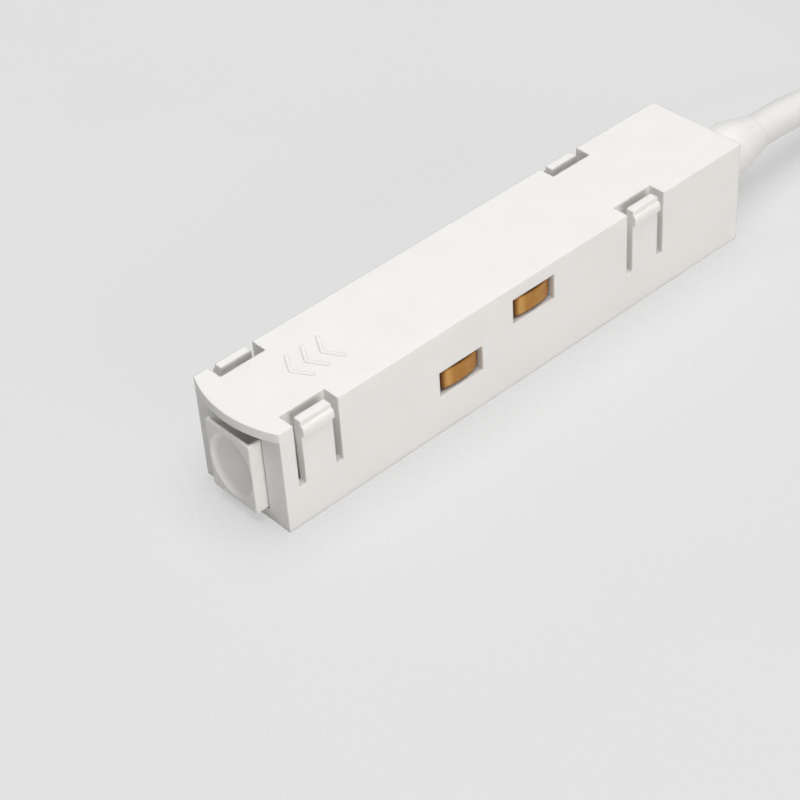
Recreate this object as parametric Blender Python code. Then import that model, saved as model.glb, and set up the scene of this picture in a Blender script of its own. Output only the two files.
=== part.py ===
"""Power feed for a slim lighting track.

A white moulded housing clips into the track by four tongues cut from its side
walls. A push button in its front end moves a lock slider that frees the
tongues. Four sprung brass contacts stand in windows in the side walls. A round
cable leaves the rear wall through a soft strain relief.

Metres, +Z up, +Y from the button to the cable. The origin is the middle of the
housing's underside, which is the face that shows once the feed is in its track.
"""

import math

import bmesh
import bpy
from mathutils import Vector

MM = 0.001

# Housing
BODY_WIDTH = 26.0 * MM
BODY_HEIGHT = 25.6 * MM
BODY_LENGTH = 135.7 * MM
WALL = 2.0 * MM
ROOF = 2.3 * MM
LIP_REACH = 3.05 * MM
RIB = 1.8 * MM
COVER = 2.0 * MM
COVER_RIM = 1.2 * MM

# Clearance between neighbours, and the depth that joined forms share
GAP = 0.3 * MM
ROOT = 0.3 * MM
OVERCUT = 0.5 * MM

# Latch tongues, from the front wall's face and down from the top. A share is of
# the housing's length.
FRONT_LATCH_START = 3.6 * MM
REAR_LATCH_SHARE = 0.7251
LATCH_SPAN = 11.6 * MM
LATCH_SLOT = 1.8 * MM
NOTCH_DEPTH = 4.1 * MM
TONGUE_LENGTH = 15.75 * MM
TONGUE_THICK = 1.9 * MM
TONGUE_CORNER = 0.6 * MM
BARB_REACH = 0.8 * MM
BARB_HEIGHT = 2.9 * MM
BARB_DROP = 1.15 * MM
POCKET_WALL = 1.2 * MM
BROW = 0.9 * MM

# Release button in the front wall, and the slider that it moves
BUTTON_WIDTH = 13.6 * MM
BUTTON_BOTTOM = 2.8 * MM
BUTTON_SHADOW_GAP = 2.9 * MM
BUTTON_PROUD = 3.0 * MM
BUTTON_FACE = 2.8 * MM
BUTTON_WALL = 1.5 * MM
BUTTON_DEPTH = 8.0 * MM
BUTTON_TRAVEL = 2.7 * MM
BUTTON_EDGE = 0.25 * MM
WELL_RIM = 0.7 * MM
WELL_SIDE = 0.9 * MM
WELL_DEPTH = 2.6 * MM
BUTTON_FLOOR = 1.2 * MM
DISH_SIDE_RIM = 0.4 * MM
DISH_END_RIM = 1.05 * MM
DISH_DEPTH = 1.3 * MM
SPINE_WIDTH = 7.2 * MM
LOCK_POST = 2.0 * MM
TAB_WIDTH = 6.0 * MM
TAB_THICK = 1.6 * MM
TAB_FROM_FRONT = 5.2 * MM
SPRING_LENGTH = 19.8 * MM
SPRING_RADIUS = 3.4 * MM
SPRING_WIRE = 0.8 * MM
SPRING_TURNS = 7
SPIGOT_RADIUS = 2.0 * MM
SPIGOT_LENGTH = 3.0 * MM

# Contact windows, and what is behind them. A share is of the housing's length.
FRONT_WINDOW_SHARE = 0.3095
REAR_WINDOW_SHARE = 0.4676
WINDOW_LENGTH = 12.3 * MM
WINDOW_HEIGHT = 6.2 * MM
REAR_WINDOW_DROP = 1.0 * MM
WINDOW_STEP = 6.65 * MM
CONTACT_RECESS = 0.2 * MM
CONTACT_CROWN = 0.78 * MM
CONTACT_WALL = 0.6 * MM
CONTACT_CORNER = 1.6 * MM
FLANGE_REACH = 0.8 * MM
FLANGE_THICK = 0.8 * MM
CONTACT_SPRING_RADIUS = 1.4 * MM
CONTACT_SPRING_WIRE = 0.45 * MM
CONTACT_SPRING_TURNS = 4
POCKET_DEPTH = 5.4 * MM
CARRIER_WALL = 1.4 * MM
EAR_THICK = 2.6 * MM
BUSBAR_THICK = 0.6 * MM
BUSBAR_HEIGHT = 3.2 * MM
CRIMP_LENGTH = 4.0 * MM
CRIMP_BORE = 0.7 * MM
CRIMP_WALL = 0.45 * MM

# Fastenings
BOSS_RADIUS = 2.1 * MM
PILOT_RADIUS = 1.2 * MM
SCREW_RADIUS = 0.9 * MM
SCREW_LENGTH = 8.0 * MM
HEAD_RADIUS = 1.7 * MM
HEAD_HEIGHT = 1.5 * MM
HOOK_WIDTH = 5.0 * MM
HOOK_THICK = 1.2 * MM
LEDGE_REACH = 0.8 * MM
LEDGE_HEIGHT = 1.2 * MM
LEDGE_BOTTOM = 4.2 * MM

# Cable, its strain relief and its clamp
CABLE_DIAMETER = 8.4 * MM
CABLE_HEIGHT = 12.7 * MM
RELIEF_LENGTH = 20.0 * MM
RELIEF_RADIUS = 6.7 * MM
RELIEF_TIP_WALL = 0.45 * MM
RELIEF_NECK_WALL = 0.6 * MM
RELIEF_FLANGE = 3.0 * MM
CLAMP_FROM_REAR = 11.7 * MM
CLAMP_LENGTH = 6.0 * MM
CLAMP_THICK = 1.3 * MM
CORE_RADIUS = 1.05 * MM
CORE_OFFSET = 1.5 * MM
STRAND_RADIUS = 0.4 * MM

END_CORE_LENGTH = 28.0 * MM
FERRULE_LENGTH = 11.0 * MM

# Hank of spare cable on the floor behind the feed
HANK_FOLD_RADIUS = 25.2 * MM
HANK_LENGTH = 147.0 * MM
HANK_FROM_REAR = 65.1 * MM
TIE_WIDTH = 8.0 * MM
TIE_THICK = 0.6 * MM
TIE_SLACK = 0.4 * MM

# The cable's way from its stripped inner end to the hank. Each point is the
# distance behind the rear wall's face in mm, and how far it has come down, from 0
# at the height of the exit to 1 at the height of the hank's lowest turn.
CABLE_ROUTE = (
    (-17.7, 0.0),
    (-9.0, 0.0),
    (0.0, 0.0),
    (10.0, 0.0),
    (20.0, 0.0),
    (29.0, 0.02),
    (38.0, 0.127),
    (46.0, 0.313),
    (53.0, 0.553),
    (60.0, 0.793),
    (66.5, 0.947),
    (73.4, 1.0),
)

# Places that follow from the sizes above
HALF_WIDTH = BODY_WIDTH / 2
INNER = HALF_WIDTH - WALL
FRONT = -BODY_LENGTH / 2
REAR = BODY_LENGTH / 2
ROOF_UNDER = BODY_HEIGHT - ROOF
SLOT_FLOOR = BODY_HEIGHT - TONGUE_LENGTH
TONGUE_BACK = HALF_WIDTH - TONGUE_THICK
POCKET_OUTER = HALF_WIDTH - NOTCH_DEPTH
POCKET_INNER = POCKET_OUTER - POCKET_WALL
BUTTON_TOP = ROOF_UNDER - BUTTON_SHADOW_GAP
SLIDER_BOTTOM = BUTTON_TOP + GAP
SLIDER_TOP = ROOF_UNDER - BROW - GAP
POST_TIP = TONGUE_BACK - 4 * GAP
NIB_TIP = POST_TIP + GAP
BUTTON_AXIS = (BUTTON_BOTTOM + BUTTON_TOP) / 2
SPRING_FRONT = FRONT - BUTTON_PROUD + BUTTON_FACE + GAP
SPRING_STOP = SPRING_FRONT + SPRING_LENGTH + GAP
CONTACT_FACE = HALF_WIDTH - CONTACT_RECESS
CONTACT_BACK = CONTACT_FACE - CONTACT_CROWN - CONTACT_WALL
FLANGE_FRONT = INNER - GAP
POCKET_BACK = INNER - POCKET_DEPTH
REAR_WINDOW_BOTTOM = ROOF_UNDER - REAR_WINDOW_DROP - WINDOW_HEIGHT
WINDOW_BOTTOMS = {
    "front": REAR_WINDOW_BOTTOM - WINDOW_STEP,
    "rear": REAR_WINDOW_BOTTOM,
}
WINDOW_STARTS = {
    "front": FRONT + FRONT_WINDOW_SHARE * BODY_LENGTH,
    "rear": FRONT + REAR_WINDOW_SHARE * BODY_LENGTH,
}
SHOE_HALF_LENGTH = WINDOW_LENGTH / 2 - GAP
SHOE_HALF_HEIGHT = WINDOW_HEIGHT / 2 - GAP
POCKET_HALF_LENGTH = SHOE_HALF_LENGTH + FLANGE_REACH + GAP
POCKET_PAST_WINDOW = POCKET_HALF_LENGTH - WINDOW_LENGTH / 2
CARRIER_FRONT = WINDOW_STARTS["front"] - POCKET_PAST_WINDOW - CARRIER_WALL
CARRIER_REAR = WINDOW_STARTS["rear"] + WINDOW_LENGTH + POCKET_PAST_WINDOW + CARRIER_WALL
CARRIER_BOTTOM = COVER + HEAD_HEIGHT + 2 * GAP
EAR_TOP = CARRIER_BOTTOM + EAR_THICK
EAR_LENGTH = 2 * BOSS_RADIUS + GAP
BOSS_X = INNER - GAP - BOSS_RADIUS
BUSBAR_REAR = CARRIER_REAR + EAR_LENGTH + CRIMP_LENGTH
CRIMP_RADIUS = CRIMP_BORE + CRIMP_WALL
CRIMP_X = POCKET_BACK - CRIMP_RADIUS
CABLE_RADIUS = CABLE_DIAMETER / 2
CABLE_BORE = CABLE_RADIUS + GAP
NECK_RADIUS = CABLE_BORE + RELIEF_NECK_WALL
NECK_HOLE = NECK_RADIUS + GAP
CLAMP_MIDDLE = REAR - CLAMP_FROM_REAR
CLAMP_OUTER = CABLE_BORE + CLAMP_THICK
CLAMP_SCREW_X = CLAMP_OUTER + HEAD_RADIUS
CLAMP_EAR_BOTTOM = CABLE_HEIGHT - GAP - CLAMP_THICK
HANK_FLOOR = TIE_THICK + TIE_SLACK
HANK_LAYERS = 2
HANK_TOP = HANK_FLOOR + HANK_LAYERS * CABLE_DIAMETER
HANK_REST = HANK_FLOOR + CABLE_RADIUS
HANK_STRAIGHT = HANK_LENGTH - 2 * HANK_FOLD_RADIUS - CABLE_DIAMETER
HANK_NEAR = REAR + HANK_FROM_REAR + HANK_FOLD_RADIUS + CABLE_RADIUS
HANK_FAR = HANK_NEAR + HANK_STRAIGHT
TAIL_HEIGHT = HANK_TOP + GAP + CABLE_RADIUS
TAIL_END = HANK_NEAR + 0.68 * HANK_STRAIGHT
SIDES = {"left": -1, "right": 1}

WHITE = (0.86, 0.855, 0.84, 1.0)
SOFT_WHITE = (0.84, 0.84, 0.825, 1.0)
BRASS = (0.48, 0.27, 0.09, 1.0)
STEEL = (0.55, 0.56, 0.57, 1.0)
TIN = (0.70, 0.70, 0.68, 1.0)
CORE_COLOURS = (
    (0.16, 0.06, 0.03, 1.0),
    (0.03, 0.10, 0.42, 1.0),
    (0.02, 0.02, 0.02, 1.0),
    (0.28, 0.28, 0.28, 1.0),
)


# Mesh tools


def clear_scene():
    """Removes whatever the startup file holds."""
    for obj in list(bpy.data.objects):
        bpy.data.objects.remove(obj, do_unlink=True)


def made(bm):
    """Turns a bmesh into an object, with its faces pointing out."""
    bmesh.ops.recalc_face_normals(bm, faces=bm.faces)
    mesh = bpy.data.meshes.new("form")
    bm.to_mesh(mesh)
    bm.free()
    obj = bpy.data.objects.new("form", mesh)
    bpy.context.scene.collection.objects.link(obj)
    return obj


def placed(along, u, v, w):
    """A point from its two places across an axis and its place along it."""
    if along == "X":
        return Vector((w, u, v))
    if along == "Y":
        return Vector((u, w, v))
    return Vector((u, v, w))


def lofted(rings):
    """Skins rings of points that have one count, and closes both ends."""
    bm = bmesh.new()
    loops = [[bm.verts.new(point) for point in ring] for ring in rings]
    count = len(loops[0])
    for low, high in zip(loops, loops[1:]):
        for i in range(count):
            j = (i + 1) % count
            bm.faces.new((low[i], low[j], high[j], high[i]))
    bm.faces.new(loops[0])
    bm.faces.new(loops[-1])
    return made(bm)


def prism(outline, low, high, along="Z"):
    """An outline drawn out along an axis. Its points are (y, z), (x, z) or (x, y)."""
    return lofted([[placed(along, u, v, w) for u, v in outline] for w in (low, high)])


def block(x, y, z):
    """A box from its low and high places on each axis."""
    outline = ((x[0], y[0]), (x[1], y[0]), (x[1], y[1]), (x[0], y[1]))
    return prism(outline, z[0], z[1])


def turned(profile, centre, along="Z", steps=20, bored=False):
    """Turns (radius, place) points about an axis. A bored profile closes on itself."""
    bm = bmesh.new()
    rings = []
    for radius, place in profile:
        angles = [math.tau * (i + 0.5) / steps for i in range(steps)]
        if radius == 0.0:
            angles = angles[:1]
        rings.append(
            [
                bm.verts.new(
                    placed(
                        along,
                        centre[0] + radius * math.cos(angle),
                        centre[1] + radius * math.sin(angle),
                        place,
                    )
                )
                for angle in angles
            ]
        )
    pairs = list(zip(rings, rings[1:]))
    if bored:
        pairs.append((rings[-1], rings[0]))
    for near, far in pairs:
        for i in range(steps):
            corners = (
                near[i % len(near)],
                near[(i + 1) % steps % len(near)],
                far[(i + 1) % steps % len(far)],
                far[i % len(far)],
            )
            corners = tuple(dict.fromkeys(corners))
            if len(corners) > 2:
                bm.faces.new(corners)
    return made(bm)


def combined(target, operation, others):
    """Applies one exact Boolean for each of the other forms, and removes them."""
    for other in others:
        modifier = target.modifiers.new(operation, "BOOLEAN")
        modifier.operation = operation
        modifier.solver = "EXACT"
        modifier.object = other
        bpy.context.view_layer.update()
        graph = bpy.context.evaluated_depsgraph_get()
        result = bpy.data.meshes.new_from_object(target.evaluated_get(graph))
        target.modifiers.clear()
        target.data = result
        bpy.data.objects.remove(other)
    return target


def plus(target, *others):
    return combined(target, "UNION", others)


def minus(target, *others):
    return combined(target, "DIFFERENCE", others)


def arc(centre, radius, start, end, steps):
    """Points along an arc, with its angles in degrees."""
    angles = [math.radians(start + (end - start) * i / steps) for i in range(steps + 1)]
    return [
        (centre[0] + radius * math.cos(a), centre[1] + radius * math.sin(a))
        for a in angles
    ]


def rounded_rectangle(half_wide, half_high, radius, steps=3):
    """Outline of a rectangle with round corners, about the middle."""
    points = []
    for i, (right, up) in enumerate(((1, 1), (-1, 1), (-1, -1), (1, -1))):
        corner = (right * (half_wide - radius), up * (half_high - radius))
        points += arc(corner, radius, 90 * i, 90 * i + 90, steps)
    return points


def across(side, inner, outer):
    """Low and high X of what lies between two distances from the middle."""
    return tuple(sorted((side * inner, side * outer)))


def mirrored(side, outline):
    """An outline drawn for the right-hand side, placed on the given side."""
    return [(side * x, other) for x, other in outline]


def smooth_line(points, spacing):
    """Reads points at about one spacing from a smooth curve through the given ones."""
    ends = [2 * points[0] - points[1], *points, 2 * points[-1] - points[-2]]
    line = []
    for before, start, end, after in zip(ends, ends[1:], ends[2:], ends[3:]):
        count = max(1, round((end - start).length / spacing))
        for i in range(count):
            t = i / count
            line.append(
                0.5
                * (
                    2 * start
                    + (end - before) * t
                    + (2 * before - 5 * start + 4 * end - after) * t**2
                    + (3 * start - before - 3 * end + after) * t**3
                )
            )
    return line + [points[-1]]


def wire(points, radius, detail, thin_points=0, thin_share=1.0):
    """A tube along a line of points. Its first thin_points are thinner."""
    curve = bpy.data.curves.new("wire", "CURVE")
    curve.dimensions = "3D"
    curve.bevel_depth = radius
    curve.bevel_resolution = detail
    curve.use_fill_caps = True
    spline = curve.splines.new("POLY")
    spline.points.add(len(points) - 1)
    for i, (target, point) in enumerate(zip(spline.points, points)):
        target.co = (*point, 1.0)
        target.radius = thin_share if i < thin_points else 1.0
    obj = bpy.data.objects.new("wire", curve)
    bpy.context.scene.collection.objects.link(obj)
    return obj


def finished(obj, name, colour, roughness, metallic=0.0):
    """Names a sub-part and gives it its own material."""
    obj.name = name
    obj.data.name = name
    material = bpy.data.materials.new(name)
    material.use_nodes = True
    shader = material.node_tree.nodes["Principled BSDF"]
    shader.inputs["Base Color"].default_value = colour
    shader.inputs["Roughness"].default_value = roughness
    shader.inputs["Metallic"].default_value = metallic
    obj.data.materials.clear()
    obj.data.materials.append(material)
    if obj.type == "MESH":
        obj.data.shade_smooth()
        obj.data.set_sharp_from_angle(angle=math.radians(35))
    return obj


# Housing shell


def latch_starts():
    return (FRONT + FRONT_LATCH_START, FRONT + REAR_LATCH_SHARE * BODY_LENGTH)


def latch_middles():
    return tuple(start + LATCH_SPAN / 2 for start in latch_starts())


def hook_places():
    """Middles of the cover's hooks, each halfway between what stands beside it."""
    rear_latch = latch_starts()[1]
    return (
        (SPRING_STOP + RIB + CARRIER_FRONT - EAR_LENGTH) / 2,
        (BUSBAR_REAR + rear_latch - RIB) / 2,
        (rear_latch + LATCH_SPAN + RIB + CLAMP_MIDDLE - CLAMP_LENGTH / 2) / 2,
    )


def boss_places():
    """The four screw pillars of the contact carrier, by name."""
    ends = {
        "front": CARRIER_FRONT - EAR_LENGTH / 2,
        "rear": CARRIER_REAR + EAR_LENGTH / 2,
    }
    return {
        f"{end}_{hand}": (side * BOSS_X, y)
        for end, y in ends.items()
        for hand, side in SIDES.items()
    }


def front_lip():
    """The top plate's bowed edge, which stands out over the button."""
    radius = (HALF_WIDTH**2 + LIP_REACH**2) / (2 * LIP_REACH)
    centre = (0.0, FRONT - LIP_REACH + radius)
    swing = math.degrees(math.asin(HALF_WIDTH / radius))
    outline = arc(centre, radius, 270 - swing, 270 + swing, 24)
    outline[0] = (-HALF_WIDTH, FRONT)
    outline[-1] = (HALF_WIDTH, FRONT)
    outline += [(HALF_WIDTH, FRONT + WALL / 2), (-HALF_WIDTH, FRONT + WALL / 2)]
    return prism(outline, ROOF_UNDER, BODY_HEIGHT)


def screw_boss(shell, x, y, bottom):
    """Adds a pillar under the roof, with a blind pilot hole in its lower end."""
    pillar = (
        (0.0, bottom),
        (BOSS_RADIUS, bottom),
        (BOSS_RADIUS, ROOF_UNDER + ROOT),
        (0.0, ROOF_UNDER + ROOT),
    )
    hole = (
        (0.0, bottom - OVERCUT),
        (PILOT_RADIUS, bottom - OVERCUT),
        (PILOT_RADIUS, bottom + SCREW_LENGTH),
        (0.0, bottom + SCREW_LENGTH),
    )
    plus(shell, turned(pillar, (x, y), steps=16))
    minus(shell, turned(hole, (x, y), steps=14))


def cut_windows(shell):
    for start, bottom in zip(WINDOW_STARTS.values(), WINDOW_BOTTOMS.values()):
        for side in SIDES.values():
            window = block(
                across(side, INNER - OVERCUT, HALF_WIDTH + OVERCUT),
                (start, start + WINDOW_LENGTH),
                (bottom, bottom + WINDOW_HEIGHT),
            )
            minus(shell, window)


def add_pocket(shell, side, start):
    """Two angle ribs that close a latch's pocket. The lock's way is between them,
    under a brow that hides it from above."""
    middle = start + LATCH_SPAN / 2
    way = (middle - LOCK_POST / 2 - GAP, middle + LOCK_POST / 2 + BUTTON_TRAVEL + GAP)
    for end, outward, edge in (
        (start, -1, way[0]),
        (start + LATCH_SPAN, 1, way[1]),
    ):
        outline = (
            (POCKET_INNER, end + outward * RIB),
            (INNER + ROOT, end + outward * RIB),
            (INNER + ROOT, end),
            (POCKET_OUTER, end),
            (POCKET_OUTER, edge),
            (POCKET_INNER, edge),
        )
        low = SLOT_FLOOR - RIB
        plus(shell, prism(mirrored(side, outline), low, ROOF_UNDER + ROOT))
    brow = block(
        across(side, POCKET_INNER, POCKET_OUTER),
        (way[0] - ROOT, way[1] + ROOT),
        (ROOF_UNDER - BROW, ROOF_UNDER + ROOT),
    )
    plus(shell, brow)


def barb_outline():
    """Section of the barb: a round lead-in above, a short land and a catch below."""
    top = BODY_HEIGHT - BARB_DROP
    lead = BARB_HEIGHT * 0.45
    points = [(HALF_WIDTH - TONGUE_THICK / 2, top)]
    for i in range(5):
        turn = math.radians(90 * i / 4)
        points.append(
            (
                HALF_WIDTH + BARB_REACH * math.sin(turn),
                top - lead * (1 - math.cos(turn)),
            )
        )
    points.append((HALF_WIDTH + BARB_REACH, top - BARB_HEIGHT * 0.76))
    points.append((HALF_WIDTH, top - BARB_HEIGHT))
    points.append((HALF_WIDTH - TONGUE_THICK / 2, top - BARB_HEIGHT))
    return points


def cut_latch(shell, side, start):
    """Frees a tongue from the side wall and notches the top plate behind it."""
    end = start + LATCH_SPAN
    for outer, inward in ((start, 1), (end, -1)):
        inner = outer + inward * LATCH_SLOT
        corner = TONGUE_CORNER if outer == end else BUTTON_EDGE
        round_top = arc(
            (inner + inward * corner, BODY_HEIGHT - corner),
            corner,
            90 + inward * 90,
            90,
            4,
        )
        outline = [(outer, SLOT_FLOOR), (inner, SLOT_FLOOR), *round_top]
        outline.append((inner + inward * corner, BODY_HEIGHT + OVERCUT))
        outline.append((outer, BODY_HEIGHT + OVERCUT))
        low, high = across(side, INNER - OVERCUT, HALF_WIDTH + OVERCUT + BARB_REACH)
        minus(shell, prism(outline, low, high, along="X"))
    notch = block(
        across(side, POCKET_OUTER, TONGUE_BACK),
        (start, end),
        (ROOF_UNDER - OVERCUT, BODY_HEIGHT + OVERCUT),
    )
    relief = block(
        across(side, INNER - OVERCUT, TONGUE_BACK),
        (start, end),
        (SLOT_FLOOR, ROOF_UNDER),
    )
    minus(shell, relief, notch)


def add_barb(shell, side, start):
    """The tongue's barb outside, and the nib that meets the lock's post inside."""
    tongue = (start + LATCH_SLOT, start + LATCH_SPAN - LATCH_SLOT)
    middle = start + LATCH_SPAN / 2
    barb = prism(mirrored(side, barb_outline()), *tongue, along="Y")
    nib = block(
        across(side, NIB_TIP, TONGUE_BACK + ROOT),
        (middle - LOCK_POST / 2, middle + LOCK_POST / 2),
        (SLIDER_BOTTOM, SLIDER_TOP),
    )
    plus(shell, barb, nib)


def cable_saddle():
    """A rib across the housing, with a half-round seat for the cable."""
    seat = arc((0.0, CABLE_HEIGHT), CABLE_BORE, 180, 0, 12)
    edge = INNER + ROOT
    outline = [(-edge, ROOF_UNDER + ROOT), (-edge, CABLE_HEIGHT), *seat]
    outline += [(edge, CABLE_HEIGHT), (edge, ROOF_UNDER + ROOT)]
    low = CLAMP_MIDDLE - RIB / 2
    return prism(outline, low, low + RIB, along="Y")


def housing_shell():
    """One moulding: top plate, walls, tongues, windows, ribs and screw pillars."""
    shell = block((-HALF_WIDTH, HALF_WIDTH), (FRONT, REAR), (0.0, BODY_HEIGHT))
    plus(shell, front_lip())
    hollow = block(
        (-INNER, INNER), (FRONT + WALL, REAR - WALL), (-OVERCUT, ROOF_UNDER)
    )
    rebate = block(
        (-HALF_WIDTH + COVER_RIM, HALF_WIDTH - COVER_RIM),
        (FRONT + COVER_RIM, REAR - COVER_RIM),
        (-OVERCUT, COVER + GAP),
    )
    doorway = block(
        (-BUTTON_WIDTH / 2 - GAP, BUTTON_WIDTH / 2 + GAP),
        (FRONT - OVERCUT, FRONT + WALL + OVERCUT),
        (BUTTON_BOTTOM - GAP, ROOF_UNDER),
    )
    cable_slot = block(
        (-NECK_HOLE, NECK_HOLE),
        (REAR - WALL - OVERCUT, REAR + OVERCUT),
        (-OVERCUT, CABLE_HEIGHT),
    )
    neck = (
        (0.0, REAR - WALL - OVERCUT),
        (NECK_HOLE, REAR - WALL - OVERCUT),
        (NECK_HOLE, REAR + OVERCUT),
        (0.0, REAR + OVERCUT),
    )
    cable_hole = turned(neck, (0.0, CABLE_HEIGHT), "Y", steps=28)
    minus(shell, hollow, rebate, doorway, cable_slot, cable_hole)
    cut_windows(shell)
    for side in SIDES.values():
        for start in latch_starts():
            add_pocket(shell, side, start)
            cut_latch(shell, side, start)
            add_barb(shell, side, start)
        for middle in hook_places():
            ledge = block(
                across(side, INNER - LEDGE_REACH, INNER + ROOT),
                (middle - HOOK_WIDTH / 2, middle + HOOK_WIDTH / 2),
                (LEDGE_BOTTOM, LEDGE_BOTTOM + LEDGE_HEIGHT),
            )
            plus(shell, ledge)
    for x, y in boss_places().values():
        screw_boss(shell, x, y, EAR_TOP + GAP)
    plus(shell, cable_saddle())
    for side in SIDES.values():
        screw_boss(shell, side * CLAMP_SCREW_X, CLAMP_MIDDLE, CABLE_HEIGHT)
    return finished(shell, "housing_shell", WHITE, 0.42)


# Base cover


def cover_hook(side, middle):
    """A snap arm whose nose rests on a ledge of the side wall."""
    outer = INNER - LEDGE_REACH - GAP
    nose = LEDGE_BOTTOM + LEDGE_HEIGHT + GAP
    outline = (
        (outer - HOOK_THICK, COVER - ROOT),
        (outer, COVER - ROOT),
        (outer, nose),
        (INNER - GAP, nose),
        (INNER - GAP, nose + HOOK_THICK / 3),
        (outer, nose + HOOK_THICK * 1.4),
        (outer - HOOK_THICK, nose + HOOK_THICK * 1.4),
    )
    half = HOOK_WIDTH / 2 - GAP
    return prism(mirrored(side, outline), middle - half, middle + half, along="Y")


def spring_stop():
    """An upright plate behind the return spring, with two gussets and a spigot."""
    top = BUTTON_AXIS + SPRING_RADIUS + RIB
    plate = block(
        (-SPRING_RADIUS - RIB, SPRING_RADIUS + RIB),
        (SPRING_STOP, SPRING_STOP + RIB),
        (COVER - ROOT, top),
    )
    foot = SPRING_STOP + RIB + SPRING_RADIUS
    gusset = (
        (SPRING_STOP + RIB - ROOT, COVER - ROOT),
        (foot, COVER - ROOT),
        (SPRING_STOP + RIB - ROOT, top - RIB),
    )
    for side in SIDES.values():
        low, high = across(side, SPRING_RADIUS - RIB / 2, SPRING_RADIUS + RIB / 2)
        plus(plate, prism(gusset, low, high, along="X"))
    pin = (
        (0.0, SPRING_STOP - SPIGOT_LENGTH),
        (SPIGOT_RADIUS * 0.8, SPRING_STOP - SPIGOT_LENGTH),
        (SPIGOT_RADIUS, SPRING_STOP - SPIGOT_LENGTH * 0.8),
        (SPIGOT_RADIUS, SPRING_STOP + ROOT),
        (0.0, SPRING_STOP + ROOT),
    )
    return plus(plate, turned(pin, (0.0, BUTTON_AXIS), "Y", steps=16))


def base_cover():
    """The plate that closes the underside, with hooks, spring stop and cable tab."""
    half = HALF_WIDTH - COVER_RIM - GAP
    inset = COVER_RIM + GAP
    cover = block((-half, half), (FRONT + inset, REAR - inset), (0.0, COVER))
    tab = block(
        (-NECK_HOLE + GAP, NECK_HOLE - GAP), (REAR - WALL, REAR), (0.0, CABLE_HEIGHT)
    )
    neck = (
        (0.0, REAR - WALL - OVERCUT),
        (NECK_HOLE, REAR - WALL - OVERCUT),
        (NECK_HOLE, REAR + OVERCUT),
        (0.0, REAR + OVERCUT),
    )
    minus(tab, turned(neck, (0.0, CABLE_HEIGHT), "Y", steps=28))
    plus(cover, tab, spring_stop())
    for side in SIDES.values():
        for middle in hook_places():
            plus(cover, cover_hook(side, middle))
    for start in WINDOW_STARTS.values():
        y = start + WINDOW_LENGTH / 2
        pad = block(
            (-RIB, RIB), (y - RIB, y + RIB), (COVER - ROOT, CARRIER_BOTTOM - GAP)
        )
        plus(cover, pad)
    return finished(cover, "base_cover", WHITE, 0.42)


# Release button, slider and return spring


def finger_dish():
    """The oval hollow in the button's face: a steep rim, then a shallow bowl."""
    face = FRONT - BUTTON_PROUD
    rings = []
    for share, depth in (
        (1.0, -0.5),
        (1.0, 0.0),
        (0.955, 0.30),
        (0.90, 0.58),
        (0.82, 0.76),
        (0.62, 0.90),
        (0.34, 1.0),
    ):
        half_wide = share * (BUTTON_WIDTH / 2 - DISH_SIDE_RIM)
        half_high = share * ((BUTTON_TOP - BUTTON_BOTTOM) / 2 - DISH_END_RIM)
        y = face + depth * DISH_DEPTH
        rings.append(
            [
                (
                    half_wide * math.cos(math.tau * i / 40),
                    y,
                    BUTTON_AXIS + half_high * math.sin(math.tau * i / 40),
                )
                for i in range(40)
            ]
        )
    return lofted(rings)


def top_well():
    """The well in the button's top. It leaves a thin rim along the face, and its
    sloping front keeps clear of the finger dish."""
    rim = FRONT - BUTTON_PROUD + WELL_RIM
    deep = rim + DISH_DEPTH
    end = FRONT + WALL + OVERCUT
    outline = (
        (rim, BUTTON_TOP + OVERCUT),
        (rim, BUTTON_TOP - WELL_RIM),
        (deep, BUTTON_TOP - WELL_DEPTH),
        (end, BUTTON_TOP - WELL_DEPTH),
        (end, BUTTON_TOP + OVERCUT),
    )
    half = BUTTON_WIDTH / 2 - WELL_SIDE
    return prism(outline, -half, half, along="X")


def release_button():
    """A hollow push button with a finger dish, a well in its top behind the face, a
    spring spigot and the slider's slot."""
    face = FRONT - BUTTON_PROUD
    back = face + BUTTON_FACE
    half = BUTTON_WIDTH / 2
    tab_middle = FRONT + TAB_FROM_FRONT
    half_high = (BUTTON_TOP - BUTTON_BOTTOM) / 2
    rings = []
    for depth, inset in (
        (0.0, BUTTON_EDGE),
        (BUTTON_EDGE * 0.3, BUTTON_EDGE * 0.3),
        (BUTTON_EDGE, 0.0),
        (BUTTON_PROUD + BUTTON_DEPTH, 0.0),
    ):
        outline = rounded_rectangle(half - inset, half_high - inset, 2 * BUTTON_EDGE)
        rings.append([(x, face + depth, BUTTON_AXIS + z) for x, z in outline])
    button = lofted(rings)
    hollow = block(
        (-half + BUTTON_WALL, half - BUTTON_WALL),
        (back, FRONT + BUTTON_DEPTH + OVERCUT),
        (BUTTON_BOTTOM + BUTTON_WALL, BUTTON_TOP - WELL_DEPTH - BUTTON_FLOOR),
    )
    tab_slot = block(
        (-TAB_WIDTH / 2 - GAP, TAB_WIDTH / 2 + GAP),
        (tab_middle - TAB_THICK / 2 - GAP, tab_middle + TAB_THICK / 2 + GAP),
        (BUTTON_TOP - BUTTON_WALL - OVERCUT, BUTTON_TOP + OVERCUT),
    )
    pin = (
        (0.0, back - ROOT),
        (SPIGOT_RADIUS, back - ROOT),
        (SPIGOT_RADIUS, back + SPIGOT_LENGTH * 0.8),
        (SPIGOT_RADIUS * 0.8, back + SPIGOT_LENGTH),
        (0.0, back + SPIGOT_LENGTH),
    )
    minus(button, hollow, tab_slot, finger_dish(), top_well())
    plus(button, turned(pin, (0.0, BUTTON_AXIS), "Y", steps=16))
    return finished(button, "release_button", WHITE, 0.45)


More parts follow.
